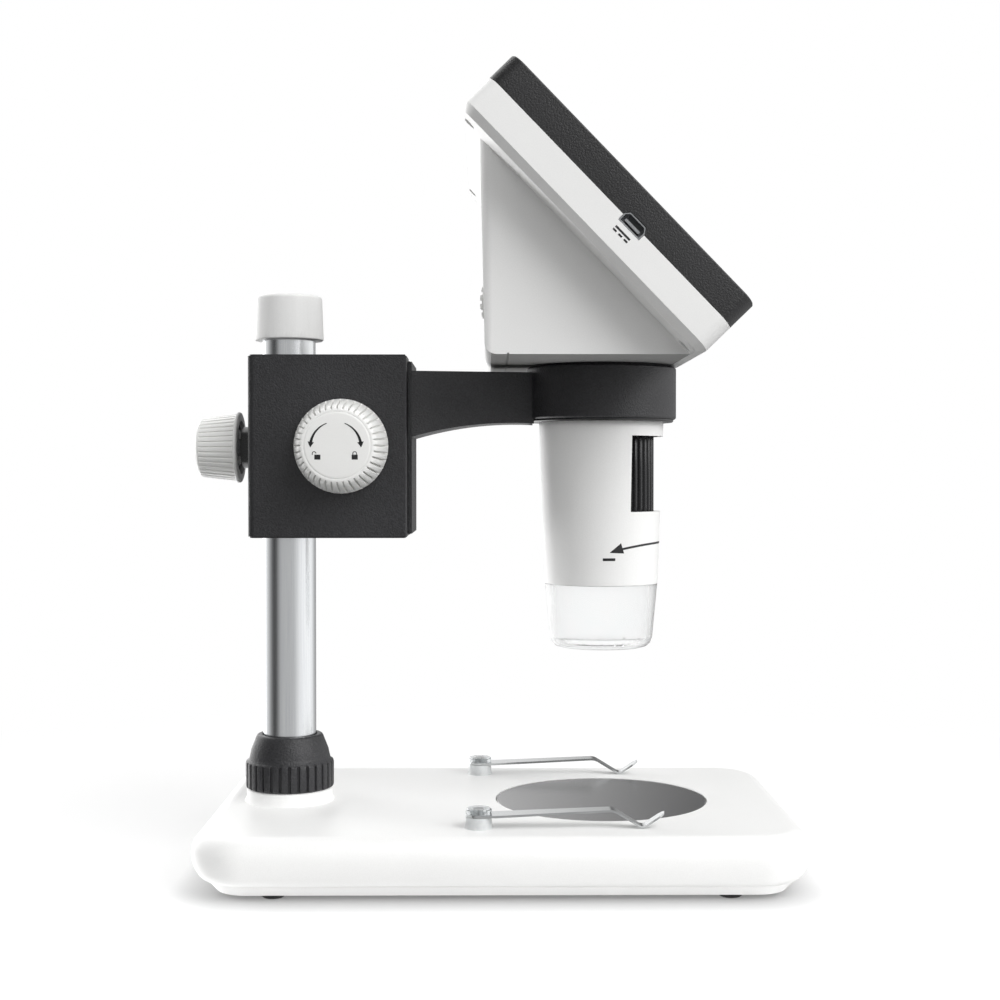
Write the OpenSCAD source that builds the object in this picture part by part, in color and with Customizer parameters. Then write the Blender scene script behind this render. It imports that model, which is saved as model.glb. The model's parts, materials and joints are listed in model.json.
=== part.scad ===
// Desk microscope with a built-in screen, on a pole stand.
// Frame: +Z up, the user sits on the +X side, origin on the table under the middle of the object.

/* [Base] */
// Length of the base, front to back
base_len = 163; // [156:1:168]
// Width of the base
base_w = 104; // [98:1:110]
// Height of the base's top above the table
base_top = 17; // [16.5:0.5:18]
// Radius of the base's corners seen from above
base_corner = 15; // [12:1:24]
// Diameter of the contrast disc let into the base
disc_d = 60; // [50:1:64]

/* [Pole] */
// Diameter of the pole
pole_d = 15; // [15:0.05:15.1]
// Height of the pole's top end
pole_top = 157; // [155:1:158]
// Distance from the pole's axis to the tube's optical axis
reach = 89; // [87:1:92]

/* [Carriage] */
// Length of the carriage block, front to back
block_len = 43.5; // [43:0.5:45]
// Width of the carriage block
block_w = 39; // [37:1:42]
// Height of the carriage block
block_h = 50.2; // [48:0.1:52]
// Teeth on the focusing pinion
pinion_teeth = 12; // [12:1:12]
// Diameter of the two side knobs at the block
side_knob_d = 25.8; // [24:0.2:27]

/* [Head] */
// Width of the display housing
display_w = 120; // [116:1:124]
// Length of the display housing along its slope
display_len = 86.4; // [84:0.2:88]
// Slope of the display housing, in degrees from level
display_tilt = 45.85; // [45:0.05:47]
// Outer diameter of the arm's ring
ring_d = 42.5; // [41.5:0.5:44]
// Diameter of the tube where it leaves the ring
tube_d = 35.4; // [35.4:0.1:35.5]

/* [Hidden] */

$fn = 64;
hull_fn = 32;            // segments on the rounds that a hull joins
gap = 0.3;               // free space between curved faces that move past each other
run = 0.05;              // radial clearance of a running fit

// colours
white_abs = "#ECECEA";
black_abs = "#2E2E30";
bare_metal = "#C3C7CA";
steel = "#9A9CA0";

// ---- heights and places, all worked out from the driving sizes ----
foot_h = 1.2;
base_x = 2.5;
part_z = foot_h + 2.9;                  // where the shell meets its bottom cover
base_wide_z = base_top - 5.5;           // the height at which the base is widest
base_top_run = 6;                       // how far the top edge rounds over
base_low_run = 5.5;                     // how far the sides draw in below
pole_x = -57.8;
tube_x = pole_x + reach;
pole_r = pole_d / 2;
boss_r = 12.2;
boss_top = base_top + 3.6;
post_x = -3.6;
post_y = 37.5;

block_z = 92.4;
block_top = block_z + block_h;
block_front = -23.4;
block_rear = block_front - block_len;
knob_z = 117.5;
pinion_x = -41.2;
pinion_module = 1;
pinion_r = pinion_module * pinion_teeth / 2;
rack_x = pinion_x + pinion_r;           // pitch line of the rack
plate_front = -22.2;
plate_z = 93.4;
plate_top = 141;
slide_screw_z = [124.5, 134];

ring_z = 125.4;
ring_top = 140.2;
head_z = 140.6;                           // underside of the head, which rests on the ring's sleeve
hood_top = 78.8;
hood_z = 60.8;
tube_low_d = 32.2;

display_x = 35.12;                      // middle of the display's front face
display_z = 183.09;
display_t = 18.5;                       // thickness of the display housing
screw_rows = [-40, 38.7];               // housing screws, from the middle of the housing
screw_y = 49.2;
split_z = -8.26;                        // joint between bezel and back, behind the front face
edge_z = -16.43;                        // where the back's edge chamfer starts
display_corner = 4;
lcd_mid = -6.5;                         // middle of the screen, up the slope
key_row = 33.7;                         // keys, down the slope
key_pitch = 16;
port_mid = 8.1;                         // sockets, down the slope
board_front = -10;                      // main board's two faces, behind the front face
board_back = -11.6;
wedge_half = 46.5;

// ---- shapes that several pieces share ----

// rounded rectangle with true arcs
module plan_rect(len, wid, r) {
    square([len - 2 * r, wid], center = true);
    square([len, wid - 2 * r], center = true);
    for (sx = [-1, 1], sy = [-1, 1])
        translate([sx * (len / 2 - r), sy * (wid / 2 - r)]) circle(r);
}

// upright plate with rounded corners, from z0 to z1
module plate(len, wid, r, z0, z1) {
    translate([0, 0, z0]) linear_extrude(z1 - z0) plan_rect(len, wid, r);
}

// turned piece from an outline of [radius, height] points
module turned(points) {
    rotate_extrude() polygon(points);
}

// upright cylinder from z0 to z1
module rod(r, z0, z1) {
    translate([0, 0, z0]) cylinder(r = r, h = z1 - z0);
}

// outline of a ribbed grip
function rib_outline(r, ribs, depth) = [
    for (i = [0:ribs - 1], k = [0:3])
        let (a = (i + [0.08, 0.42, 0.58, 0.92][k]) * 360 / ribs, q = (k == 0 || k == 3) ? r - depth : r)
            [q * cos(a), q * sin(a)]
];

// lies along -Y with its wide end at y = 0: used by both side knobs
module side_grip(r_wide, r_face, len, ribs) {
    rotate([90, 0, 0]) {
        linear_extrude(height = len - 1.4, scale = (r_face + 0.4) / r_wide)
            polygon(rib_outline(r_wide, ribs, 0.55));
        translate([0, 0, len - 1.41])
            turned([[0, 0], [r_face + 0.1, 0], [r_face - 0.1, 0.7], [r_face - 0.4, 1.15],
                    [r_face - 0.9, 1.41], [0, 1.41]]);
    }
}

// turns its children into the sloping frame of the display: x down the slope, z out of the screen
module on_display() {
    translate([display_x, 0, display_z]) rotate([0, display_tilt, 0]) children();
}

// ---- base ----

// outline of the base's edge, from the corner's axis outwards
function edge_outline(r) = concat(
    [[0, part_z]],
    [for (a = [18:12:90]) [r - base_low_run + base_low_run * sin(a),
                           base_wide_z - (base_wide_z - part_z) * cos(a) / cos(18)]],
    [for (a = [15:15:90]) [r - base_top_run + base_top_run * cos(a),
                           base_wide_z + (base_top - base_wide_z) * sin(a)]],
    [[0, base_top]]
);

// places its children near the base's four corners: along in from its ends, across in from its sides
module at_base_corners(along, across) {
    for (sx = [-1, 1], sy = [-1, 1])
        translate([base_x + sx * (base_len / 2 - along), sy * (base_w / 2 - across), 0]) children();
}

screw_inset = 19;                       // base screws, in from the base's edges
foot_along = 22;                        // feet, in from the base's ends
foot_across = 10.5;                     // and in from its sides
foot_r = 3.2;

module base_shell() color(white_abs) {
    wall = 7;
    ceiling = base_top - 3;
    difference() {
        union() {
            hull() at_base_corners(base_corner, base_corner)
                rotate_extrude($fn = 48) polygon(edge_outline(base_corner));
            translate([pole_x, 0, 0])
                turned([[0, base_top - 1], [boss_r + 0.9, base_top - 1], [boss_r + 0.5, base_top + 0.3],
                        [boss_r, base_top + 1.1], [boss_r, boss_top - 0.4], [boss_r - 0.4, boss_top],
                        [0, boss_top]]);
        }
        // hollow underside with its ribs and screw pillars left standing
        difference() {
            translate([base_x, 0, 0])
                plate(base_len - 2 * wall, base_w - 2 * wall, base_corner - 5, part_z - 1, ceiling);
            at_base_corners(screw_inset, screw_inset) rod(4, part_z - 1, ceiling);
            translate([pole_x, 0, 0]) rod(15, 12, ceiling);
            for (x = [-30, -8, 70]) translate([x, 0, 10.5]) cube([1.8, base_w, 8], center = true);
            for (y = [-33, 33]) translate([base_x, y, 10.5]) cube([base_len, 1.8, 8], center = true);
        }
        at_base_corners(screw_inset, screw_inset) rod(1.3, part_z - 1, ceiling - 2);
        translate([pole_x, 0, 0]) rod(9.6, 5, boss_top + 1);
        translate([tube_x, 0, 0]) rod(disc_d / 2 + 0.15, base_top - 1.5, base_top + 1);
        for (s = [-1, 1]) translate([post_x, s * post_y, 0]) rod(1.6, base_top - 4, base_top + 1);
    }
}

module base_bottom_cover() color(white_abs) {
    difference() {
        hull() {
            translate([base_x, 0, 0]) {
                plate(base_len - 9, base_w - 9, base_corner - 4.5, part_z - 0.3, part_z, $fn = hull_fn);
                plate(base_len - 13.5, base_w - 13.5, base_corner - 6.5, foot_h, foot_h + 0.2,
                      $fn = hull_fn);
            }
        }
        at_base_corners(screw_inset, screw_inset) {
            rod(1.7, 0, part_z + 1);
            rod(3.2, 0, foot_h + 1.5);
        }
        at_base_corners(foot_along, foot_across) rod(foot_r + 0.1, 0, foot_h + 0.6);
    }
}

module rubber_feet() color("#222222")
    at_base_corners(foot_along, foot_across)
        turned([[0, 0], [foot_r - 0.5, 0], [foot_r, 0.5], [foot_r, foot_h + 0.6], [0, foot_h + 0.6]]);

module base_screws() color(steel)
    at_base_corners(screw_inset, screw_inset) difference() {
        union() {
            rod(1.25, foot_h + 1, base_top - 5.5);
            turned([[0, foot_h + 0.2], [2.4, foot_h + 0.2], [2.8, foot_h + 0.6],
                    [2.8, foot_h + 1.5], [0, foot_h + 1.5]]);
        }
        for (a = [0, 90]) rotate(a) cube([2.8, 0.6, 2 * foot_h + 1.6], center = true);
    }

module stage_disc() color("#8C8D8F")
    translate([tube_x, 0, 0])
        turned([[0, base_top - 1.5], [disc_d / 2, base_top - 1.5], [disc_d / 2, base_top - 0.4],
                [disc_d / 2 - 0.3, base_top - 0.1], [0, base_top - 0.1]]);

// ---- pole and its clamp in the base ----

collet_top = boss_top + 10.4;

module pole_collet() color(white_abs) {
    translate([pole_x, 0, 0]) difference() {
        union() {
            turned([[0, 6], [9.5, 6], [9.5, collet_top - 3], [8.6, collet_top], [0, collet_top]]);
            rod(12, 8, 12);
        }
        rod(pole_r + 0.02, 10, collet_top + 1);
        for (a = [0, 90])
            rotate(a) translate([0, 0, collet_top]) cube([30, 1.4, 15], center = true);
    }
}

module pole() color(bare_metal)
    translate([pole_x, 0, 0]) difference() {
        rod(pole_r, 10, pole_top);
        rod(pole_r - 1.5, 9, pole_top + 1);
    }

module pole_cap() color(white_abs) {
    z = 147.8;
    top = pole_top + 3.4;
    translate([pole_x, 0, 0]) difference() {
        turned([[0, z], [9.4, z], [9.8, z + 0.4], [9.78, z + 1], [9.4, top - 0.9], [9.15, top - 0.25],
                [8.7, top], [0, top]]);
        rod(pole_r + 0.02, z - 1, pole_top);
    }
}

module pole_lock_nut() color(black_abs) {
    z = boss_top + 0.1;
    ribs = 30;
    translate([pole_x, 0, 0]) difference() {
        turned([[0, z], [11.9, z], [12.5, z + 0.6], [12.5, z + 7.2], [12.3, z + 7.6], [11.6, z + 7.9],
                [10.95, z + 10.8], [10.15, z + 12.8], [9.5, z + 14.5], [9, z + 15.1], [0, z + 15.1]]);
        turned([[0, z - 1], [9.8, z - 1], [9.8, z + 9], [8.9, z + 11.2], [pole_r + gap, z + 11.8],
                [pole_r + gap, z + 17], [0, z + 17]]);
        for (i = [0:ribs - 1]) rotate(i * 360 / ribs) translate([12.9, 0, 0]) rod(0.8, z - 1, z + 7);
    }
}

// ---- stage clips ----

clip_z = base_top + 3.1;                // underside of the spring strip at its post
clip_t = 0.6;
clip_reach = 48.8;                      // from the post's axis to the strip's tip
clip_pin_r = 1.5;

module clip_posts() color("#F2F3F3")
    for (s = [-1, 1]) translate([post_x, s * post_y, 0])
        turned([[0, base_top - 3.5], [clip_pin_r, base_top - 3.5], [clip_pin_r, base_top],
                [3.75, base_top], [3.5, base_top + 0.7], [3.4, clip_z - 0.1], [clip_pin_r, clip_z - 0.1],
                [clip_pin_r, clip_z + 1.6], [0, clip_z + 1.6]]);

module clip_caps() color("#D9DCDE")
    for (s = [-1, 1]) translate([post_x, s * post_y, 0])
        turned([[clip_pin_r, clip_z + clip_t + 0.1], [3.45, clip_z + clip_t + 0.1],
                [3.45, clip_z + 1.7], [3.1, clip_z + 2.1], [0, clip_z + 2.1], [0, clip_z + 1.6],
                [clip_pin_r, clip_z + 1.6]]);

// points on an arc of radius r about [x, z], from angle a to angle b
function arc(x, z, r, a, b) = [
    for (k = [0:4]) let (t = a + (b - a) * k / 4) [x + r * cos(t), z + r * sin(t)]
];

// side view of the strip: rises gently, dips to press on the slide, turns up at the tip
module clip_side_view() {
    foot_z = base_top + 0.12;
    foot_x = 43;
    foot_bend = 1.6;
    crest_z = clip_z + 1.32;
    crest_x = 34.4;
    crest_bend = 4;
    under = concat(
        [[0, clip_z], [4.5, clip_z]],
        arc(crest_x, crest_z - crest_bend, crest_bend, 92, 61),
        arc(foot_x, foot_z + foot_bend, foot_bend, 241, 304),
        [[clip_reach, clip_z + 0.5]]
    );
    last = len(under) - 1;
    polygon(concat(under, [for (i = [last:-1:0]) under[i] + [0, clip_t]]));
}

// the strip runs forward from its post; rear mirrors front
module stage_clip(s) color("#BFC3C6") {
    translate([post_x, s * post_y, 0]) difference() {
        union() {
            intersection() {
                translate([0, 5, 0]) rotate([90, 0, 0]) linear_extrude(10) clip_side_view();
                translate([0, 0, base_top]) linear_extrude(10) {
                    polygon([[0, -3.2], [clip_reach - 2, -1.9], [clip_reach - 2, 1.9], [0, 3.2]]);
                    translate([clip_reach - 1.9, 0]) circle(1.9);
                }
            }
            rod(3.3, clip_z, clip_z + clip_t);
        }
        rod(clip_pin_r + run, clip_z - 1, clip_z + 2);
    }
}
module stage_clip_front() stage_clip(-1);
module stage_clip_rear() stage_clip(1);

// ---- carriage on the pole ----

liner_r = pole_r + 0.6;

module pole_liner() color("#C9C6BE")
    translate([pole_x, 0, 0]) difference() {
        rod(liner_r, block_z + 2.2, block_top - 2.2);
        rod(pole_r + run, block_z, block_top);
        // slit, so that the clamp screw can close the sleeve on the pole
        translate([0, 0, block_z]) rotate(45) translate([0, -0.6, 0]) cube([20, 1.2, block_h]);
    }

pinion_half = 3.8;
groove_x = -31;

// dovetail of the focusing slide, seen from above; grow widens it for the groove
module dovetail(grow) {
    polygon([[block_front + 2, -6.5 - grow], [block_front + 2, 6.5 + grow],
             [block_front, 6.5 + grow], [groove_x - grow, 9 + grow],
             [groove_x - grow, -9 - grow], [block_front, -6.5 - grow]]);
}

// the block seen from above: softly rounded at the rear, nearly sharp towards the slide
module block_plan(inset) {
    rear_r = 1.9;
    front_r = 0.5;
    half_w = block_w / 2 - inset;
    for (s = [-1, 1]) {
        translate([block_rear + inset + rear_r, s * (half_w - rear_r)]) circle(rear_r);
        translate([block_front - inset - front_r, s * (half_w - front_r)]) circle(front_r);
    }
    translate([block_rear + inset, rear_r - half_w]) square([block_len - 2 * inset, 2 * (half_w - rear_r)]);
    translate([block_rear + inset + rear_r, front_r - half_w])
        square([block_len - 2 * inset - rear_r, 2 * (half_w - front_r)]);
    translate([block_rear + inset + rear_r, -half_w])
        square([block_len - 2 * inset - rear_r - front_r, 2 * half_w]);
}

module block_housing() color(black_abs) {
    edge = 0.4;
    difference() {
        union() {
            translate([0, 0, block_z + edge]) linear_extrude(block_h - 2 * edge) block_plan(0);
            translate([0, 0, block_z]) linear_extrude(block_h) block_plan(edge);
        }
        // bore for the liner, with a lip at each end that keeps the liner in
        translate([pole_x, 0, 0]) {
            rod(liner_r + run, block_z + 2.1, block_top - 2.1);
            rod(pole_r + gap, block_z - 1, block_top + 1);
        }
        // groove of the focusing slide and the channel for its rack
        translate([0, 0, block_z - 1]) linear_extrude(block_h + 2) dovetail(0.08);
        translate([rack_x - 1.5, -pinion_half - 0.4, block_z - 1])
            cube([6, 2 * pinion_half + 0.8, block_h + 2]);
        // pinion pocket, shaft bore and the lock knob's seat
        translate([pinion_x, 0, knob_z]) rotate([90, 0, 0]) {
            translate([0, 0, -pinion_half - 0.4]) cylinder(r = pinion_r + 1.4, h = 2 * pinion_half + 0.8);
            translate([0, 0, -30]) cylinder(r = 2.5 + run, h = 42);
            translate([0, 0, 9.9]) cylinder(r = 6 + run, h = 20);
        }
        // thread for the clamp screw
        translate([block_rear - 1, 0, knob_z]) rotate([0, 90, 0]) cylinder(r = 2.5 + run, h = 6);
    }
}

module clamp_collar() color(black_abs)
    translate([block_rear, 0, knob_z]) rotate([0, -90, 0]) difference() {
        turned([[0, 0], [6.6, 0], [6.6, 1.2], [5.9, 1.7], [5.9, 4], [0, 4]]);
        translate([0, 0, -1]) cylinder(r = 2.5 + run, h = 7);
    }

clamp_knob_x = block_rear - 4.5;        // the clamp knob's wide end

module clamp_knob() color(white_abs)
    translate([clamp_knob_x, 0, knob_z]) rotate([0, -90, 0]) difference() {
        union() {
            translate([0, 0, 0.8]) linear_extrude(height = 9.9, scale = 8.45 / 9.6)
                polygon(rib_outline(9.6, 38, 0.4));
            turned([[0, 0], [9.7, 0], [10.05, 0.35], [10.05, 0.9], [9.7, 1.1], [0, 1.1]]);
            translate([0, 0, 10.65])
                turned([[0, 0], [8.35, 0], [7.95, 0.8], [7, 1.3], [5, 1.62], [2.5, 1.87], [0, 1.95]]);
        }
        translate([0, 0, -1]) cylinder(r = 7.6, h = 3.5);
        translate([0, 0, -1]) cylinder(r = 2.5, h = 9);
    }

module clamp_knob_core() color(black_abs)
    translate([clamp_knob_x, 0, knob_z]) rotate([0, -90, 0]) difference() {
        turned([[0, 0.6], [5, 0.6], [5, 1.2], [7.55, 1.2], [7.55, 2.5], [0, 2.5]]);
        cylinder(r = 2.5, h = 5);
    }

module clamp_screw() color(steel)
    translate([clamp_knob_x, 0, knob_z]) rotate([0, -90, 0]) translate([0, 0, -5.2])
        turned([[0, 0], [2.1, 0], [2.5, 0.4], [2.5, 13.1], [0, 13.1]]);

// ---- lock knob and focusing drive ----

knob_len = 12;
knob_face_r = 10.3;

module lock_knob() color(white_abs)
    translate([pinion_x, 0, knob_z]) {
        translate([0, -block_w / 2 - 0.5, 0]) side_grip(side_knob_d / 2, knob_face_r, knob_len, 40);
        rotate([90, 0, 0]) translate([0, 0, 10.3]) cylinder(r = 6, h = block_w / 2 - 9);
    }

module focus_knob() color(white_abs)
    translate([pinion_x, 0, knob_z]) difference() {
        translate([0, block_w / 2 + 0.5, 0])
            mirror([0, 1, 0]) side_grip(side_knob_d / 2, knob_face_r, knob_len, 40);
        rotate([-90, 0, 0]) translate([0, 0, block_w / 2]) cylinder(r = 2.5, h = 8);
    }

module pinion_shaft() color(steel)
    translate([pinion_x, 0, knob_z]) rotate([-90, 0, 0]) translate([0, 0, -9.8])
        cylinder(r = 2.5, h = 9.8 + block_w / 2 + 8);

// one involute flank of a gear, from the base circle outwards
function flank(rb, ra, half, side) = [
    for (k = [0:4])
        let (t_end = sqrt(ra * ra / (rb * rb) - 1), t = t_end * k / 4,
             r = rb * sqrt(1 + t * t), a = half - (t * 180 / PI - atan(t)))
            [r * cos(side * a), r * sin(side * a)]
];

module focus_pinion() color("#C8A860") {
    pressure = 20;
    base_r = pinion_r * cos(pressure);
    outer_r = pinion_r + 0.95;
    root_r = pinion_r - 1.2;
    backlash_deg = 0.9;
    half = 90 / pinion_teeth - backlash_deg + (tan(pressure) * 180 / PI - pressure);
    translate([pinion_x, 0, knob_z]) rotate([90, 0, 0]) difference() {
        translate([0, 0, -pinion_half]) linear_extrude(2 * pinion_half) polygon([
            for (i = [0:pinion_teeth - 1])
                let (a = i * 360 / pinion_teeth,
                     side_points = concat([[root_r * cos(half + 1), -root_r * sin(half + 1)]],
                         flank(base_r, outer_r, half, -1),
                         [for (k = [4:-1:0]) flank(base_r, outer_r, half, 1)[k]],
                         [[root_r * cos(half + 1), root_r * sin(half + 1)]]))
                    for (p = side_points) [p[0] * cos(a) - p[1] * sin(a), p[0] * sin(a) + p[1] * cos(a)]
        ]);
        cylinder(r = 2.5, h = 20, center = true);
    }
}

// ---- focusing slide and arm ----

module slide_plate() color(black_abs)
    difference() {
        union() {
            translate([block_front + 0.1, -14, plate_z])
                cube([plate_front - block_front - 0.1, 28, plate_top - plate_z]);
            translate([0, 0, plate_z]) linear_extrude(plate_top - plate_z)
                intersection() {
                    dovetail(0);
                    translate([-40, -20]) square([40 + block_front + 0.2, 40]);
                }
        }
        for (z = slide_screw_z) translate([-40, 0, z]) rotate([0, 90, 0]) {
            cylinder(r = 1.55, h = 40);
            cylinder(r = 3, h = 40 + groove_x + 3);
        }
    }

module focus_rack() color("#C8A860") {
    pitch = pinion_module * PI;
    root_x = rack_x + 1.2;
    tip_x = rack_x - 0.95;
    slack = 0.06;
    first = -7;
    last = 6;
    translate([0, pinion_half, 0]) rotate([90, 0, 0]) linear_extrude(2 * pinion_half) polygon(concat(
        [[groove_x, plate_z + 0.5], [groove_x, plate_top - 0.5], [root_x, plate_top - 0.5]],
        [for (i = [last:-1:first], k = [0:3])
            let (mid = knob_z + (i + 0.5) * pitch,
                 dz_root = pitch / 4 + 1.2 * tan(20) - slack, dz_tip = pitch / 4 - 0.95 * tan(20) - slack)
                [k == 0 || k == 3 ? root_x : tip_x, mid + [dz_root, dz_tip, -dz_tip, -dz_root][k]]],
        [[root_x, plate_z + 0.5]]
    ));
}

module slide_screws() color(steel)
    for (z = slide_screw_z) translate([groove_x + 0.2, 0, z]) rotate([0, 90, 0]) {
        cylinder(r = 2.7, h = 2.8);
        cylinder(r = 1.5, h = 14);
    }

module focus_arm() color(black_abs) {
    arm_top = 138.5;
    wide = 14;                          // half width at the slide plate
    narrow = 7.5;                       // half width at the ring
    narrow_x = tube_x - 20;
    underside_r = 101;                  // the arched underside and the top of its arc
    underside_x = 6;
    underside_z = ring_z - 1.15;
    difference() {
        union() {
            translate([0, 0, ring_z - 10]) linear_extrude(arm_top - ring_z + 10)
                polygon([[plate_front, -wide], [narrow_x, -narrow], [tube_x, -narrow],
                         [tube_x, narrow], [narrow_x, narrow], [plate_front, wide]]);
            translate([tube_x, 0, 0])
                turned([[0, ring_z], [ring_d / 2 - 0.4, ring_z], [ring_d / 2, ring_z + 0.4],
                        [ring_d / 2, ring_top - 0.6], [ring_d / 2 - 0.6, ring_top], [0, ring_top]]);
        }
        translate([underside_x, 30, underside_z - underside_r]) rotate([90, 0, 0])
            cylinder(r = underside_r, h = 60, $fn = 128);
        // room for the sleeve and its lip
        translate([tube_x, 0, 0]) {
            rod(19.05, 100, 150);
            rod(20.8, 100, ring_z);
        }
        for (z = slide_screw_z) translate([plate_front - 1, 0, z]) rotate([0, 90, 0])
            cylinder(r = 1.5, h = 8);
    }
}

module ring_sleeve() color("#1F1F21")
    translate([tube_x, 0, 0]) difference() {
        turned([[0, ring_z - 0.8], [20.2, ring_z - 0.8], [20.5, ring_z - 0.5], [20.5, ring_z - 0.1],
                [19, ring_z - 0.1], [19, head_z], [0, head_z]]);
        rod(tube_d / 2 + run, 100, 150);
    }

// ---- head: wedge and display housing ----

slope_n = display_x * sin(display_tilt) + display_z * cos(display_tilt) - display_t;
// x of the display's back plane at height z
function back_x(z) = (slope_n - z * cos(display_tilt)) / sin(display_tilt);
function back_z(x) = (slope_n - x * sin(display_tilt)) / cos(display_tilt);

wedge_top_x = -3.3;
wedge_low_x = -2.1;

// side view of the wedge, drawn in by wall on its rear and under sides
module wedge_side_view(wall) {
    low = head_z + wall;
    r = 3.2;
    union() {
        polygon([[wedge_top_x + wall, back_z(wedge_top_x + wall)], [wedge_low_x + wall + 0.06, low + r],
                 [wedge_low_x + wall + r, low], [back_x(low), low]]);
        translate([wedge_low_x + wall + r + 0.04, low + r]) circle(r);
    }
}

module wedge_housing() color(white_abs) {
    wall = 2;
    difference() {
        intersection() {
            translate([0, 60, 0]) rotate([90, 0, 0]) linear_extrude(120) wedge_side_view(0);
            translate([30, 0, 0]) plate(67, 2 * wedge_half, 3.5, 130, 210);
        }
        translate([0, wedge_half - wall, 0]) rotate([90, 0, 0])
            linear_extrude(2 * (wedge_half - wall)) wedge_side_view(wall);
        // seat of the tube
        translate([tube_x, 0, 0]) rod(tube_d / 2 + run, 130, 150);
        // slot for the dimmer wheel, and the seam of the rear cover under the head
        translate([dimmer_x, dimmer_y + 2, dimmer_z]) rotate([90, 0, 0]) cylinder(r = dimmer_r + 0.4, h = 4);
        translate([4, 0, head_z]) cube([0.5, 2 * wedge_half + 2, 0.7], center = true);
    }
}

// shape of the USB opening, wide side to the back
module usb_outline(grow) {
    polygon([[-3.6 - grow, -1.7 - grow], [3.6 + grow, -1.7 - grow], [3.6 + grow, 0.5],
             [2.6 + grow / 2, 1.7 + grow], [-2.6 - grow / 2, 1.7 + grow], [-3.6 - grow, 0.5]]);
}

// places its children at the four screws that hold the bezel to the back
module at_housing_screws() {
    for (x = screw_rows, sy = [-1, 1]) translate([x, sy * screw_y, 0]) children();
}

module port_cuts() {
    translate([port_mid, -display_w / 2 + 5, split_z]) rotate([90, 0, 0]) linear_extrude(10) usb_outline(0.1);
    translate([port_mid - 6.3, display_w / 2 - 5, board_front + 0.2]) cube([12.6, 10, 1.4]);
}

module display_back() color(white_abs) {
    wall = 2.2;
    inner_len = display_len - 2 * wall;
    inner_w = display_w - 2 * wall;
    on_display() difference() {
        hull() {
            plate(display_len, display_w, display_corner, edge_z, split_z, $fn = hull_fn);
            plate(display_len - 3.6, display_w - 3.6, display_corner - 1.8, -display_t, edge_z,
                  $fn = hull_fn);
        }
        difference() {
            plate(inner_len, inner_w, display_corner - wall, -display_t + 2, split_z + 1);
            at_housing_screws() rod(3.6, -display_t, split_z + 1);
            // stand-offs under the main board and the key board
            for (x = [-33, 21], y = [-42, 42]) translate([x, y, 0]) rod(2.5, -display_t, board_back);
            for (y = [-42, 42]) translate([key_row, y, 0]) rod(2.2, -display_t, split_z + 1);
        }
        // cable window into the wedge, screw pits, sockets
        translate([-4, -24, -display_t - 1]) cube([30, 48, 6]);
        at_housing_screws() {
            rod(1.95, -display_t - 1, -display_t + 4);
            rod(1.2, -display_t - 1, split_z + 2);
        }
        port_cuts();
    }
}

module display_bezel() color(black_abs) {
    wall = 2.2;
    on_display() difference() {
        hull() {
            plate(display_len, display_w, display_corner, split_z, -0.4, $fn = hull_fn);
            plate(display_len - 0.8, display_w - 0.8, display_corner - 0.4, -0.1, 0, $fn = hull_fn);
        }
        difference() {
            plate(display_len - 2 * wall, display_w - 2 * wall, display_corner - wall, split_z - 1, -2.3);
            at_housing_screws() rod(3, split_z - 1, -5.4);
        }
        at_housing_screws() rod(1.2, split_z - 1, -5.7);
        translate([lcd_mid, 0, 0]) {
            plate(54.6, 95.8, 0.8, -5, 1);
            plate(63.4, 104.4, 2.4, -1.3, 1);
        }
        for (i = [0:5]) translate([key_row, (i - 2.5) * key_pitch, 0]) plate(5.4, 11.4, 1.6, -5, 1);
        port_cuts();
    }
}

module display_window() color("#15171B")
    on_display() translate([lcd_mid, 0, 0]) plate(63.2, 104.2, 2.3, -1.3, -0.1);

module lcd_panel() color("#3A3E44")
    on_display() translate([lcd_mid + 0.7, 0, 0]) {
        translate([0, 0, -3.75]) cube([67.2, 105.5, 2.9], center = true);
        translate([28, 0, -5.5]) cube([8, 30, 0.6], center = true);
    }

module main_board() color("#1E5B3A")
    on_display() {
        translate([-37, -45, board_back]) cube([62, 90, board_front - board_back]);
        translate([port_mid - 6, -57, board_back]) cube([12, 13, board_front - board_back]);
        translate([port_mid - 8, 44, board_back]) cube([16, 13, board_front - board_back]);
        translate([-25, -19, board_front]) cube([14, 14, 1.4]);
        translate([-23, 6, board_front]) cube([10, 12, 1.1]);
        translate([-34, 16, board_front]) cube([6, 20, 1.8]);
        translate([6, -10, board_front]) cube([5, 20, 2]);
    }

module battery() color("#8F9CA8")
    on_display() translate([-19, 0, 0]) plate(26, 68, 2, -display_t + 2, board_back - 0.2);

module usb_socket() color(steel)
    on_display() translate([port_mid, -display_w / 2 + 9.3, split_z]) rotate([90, 0, 0]) {
        difference() {
            linear_extrude(9) usb_outline(0);
            translate([0, 0, 1]) linear_extrude(9) usb_outline(-0.35);
        }
        translate([0, -0.3, 4.4]) cube([4.8, 0.7, 7.4], center = true);
    }

module card_socket() color(steel)
    on_display() translate([port_mid - 7.2, display_w / 2 - 17.3, board_front]) difference() {
        cube([14.4, 15, 1.9]);
        translate([1, 4, 0.3]) cube([12.4, 12, 1.3]);
    }

module key_board() color("#1E5B3A")
    on_display() {
        translate([key_row, 0, -6.6]) cube([9, 90, 1.2], center = true);
        for (y = [-42, 42]) translate([key_row, y, 0]) rod(2.2, split_z, -7);
        for (i = [0:5]) translate([key_row, (i - 2.5) * key_pitch, -5.4])
            cube([4.5, 4.5, 1.3], center = true);
    }

module housing_screws() color(steel)
    on_display() at_housing_screws() difference() {
        union() {
            rod(1.85, -display_t + 2.3, -display_t + 4);
            rod(1.2, -display_t + 3, split_z + 2.5);
        }
        for (a = [0, 90]) rotate(a) translate([0, 0, -display_t + 2]) cube([2.6, 0.5, 1.8], center = true);
    }

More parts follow.
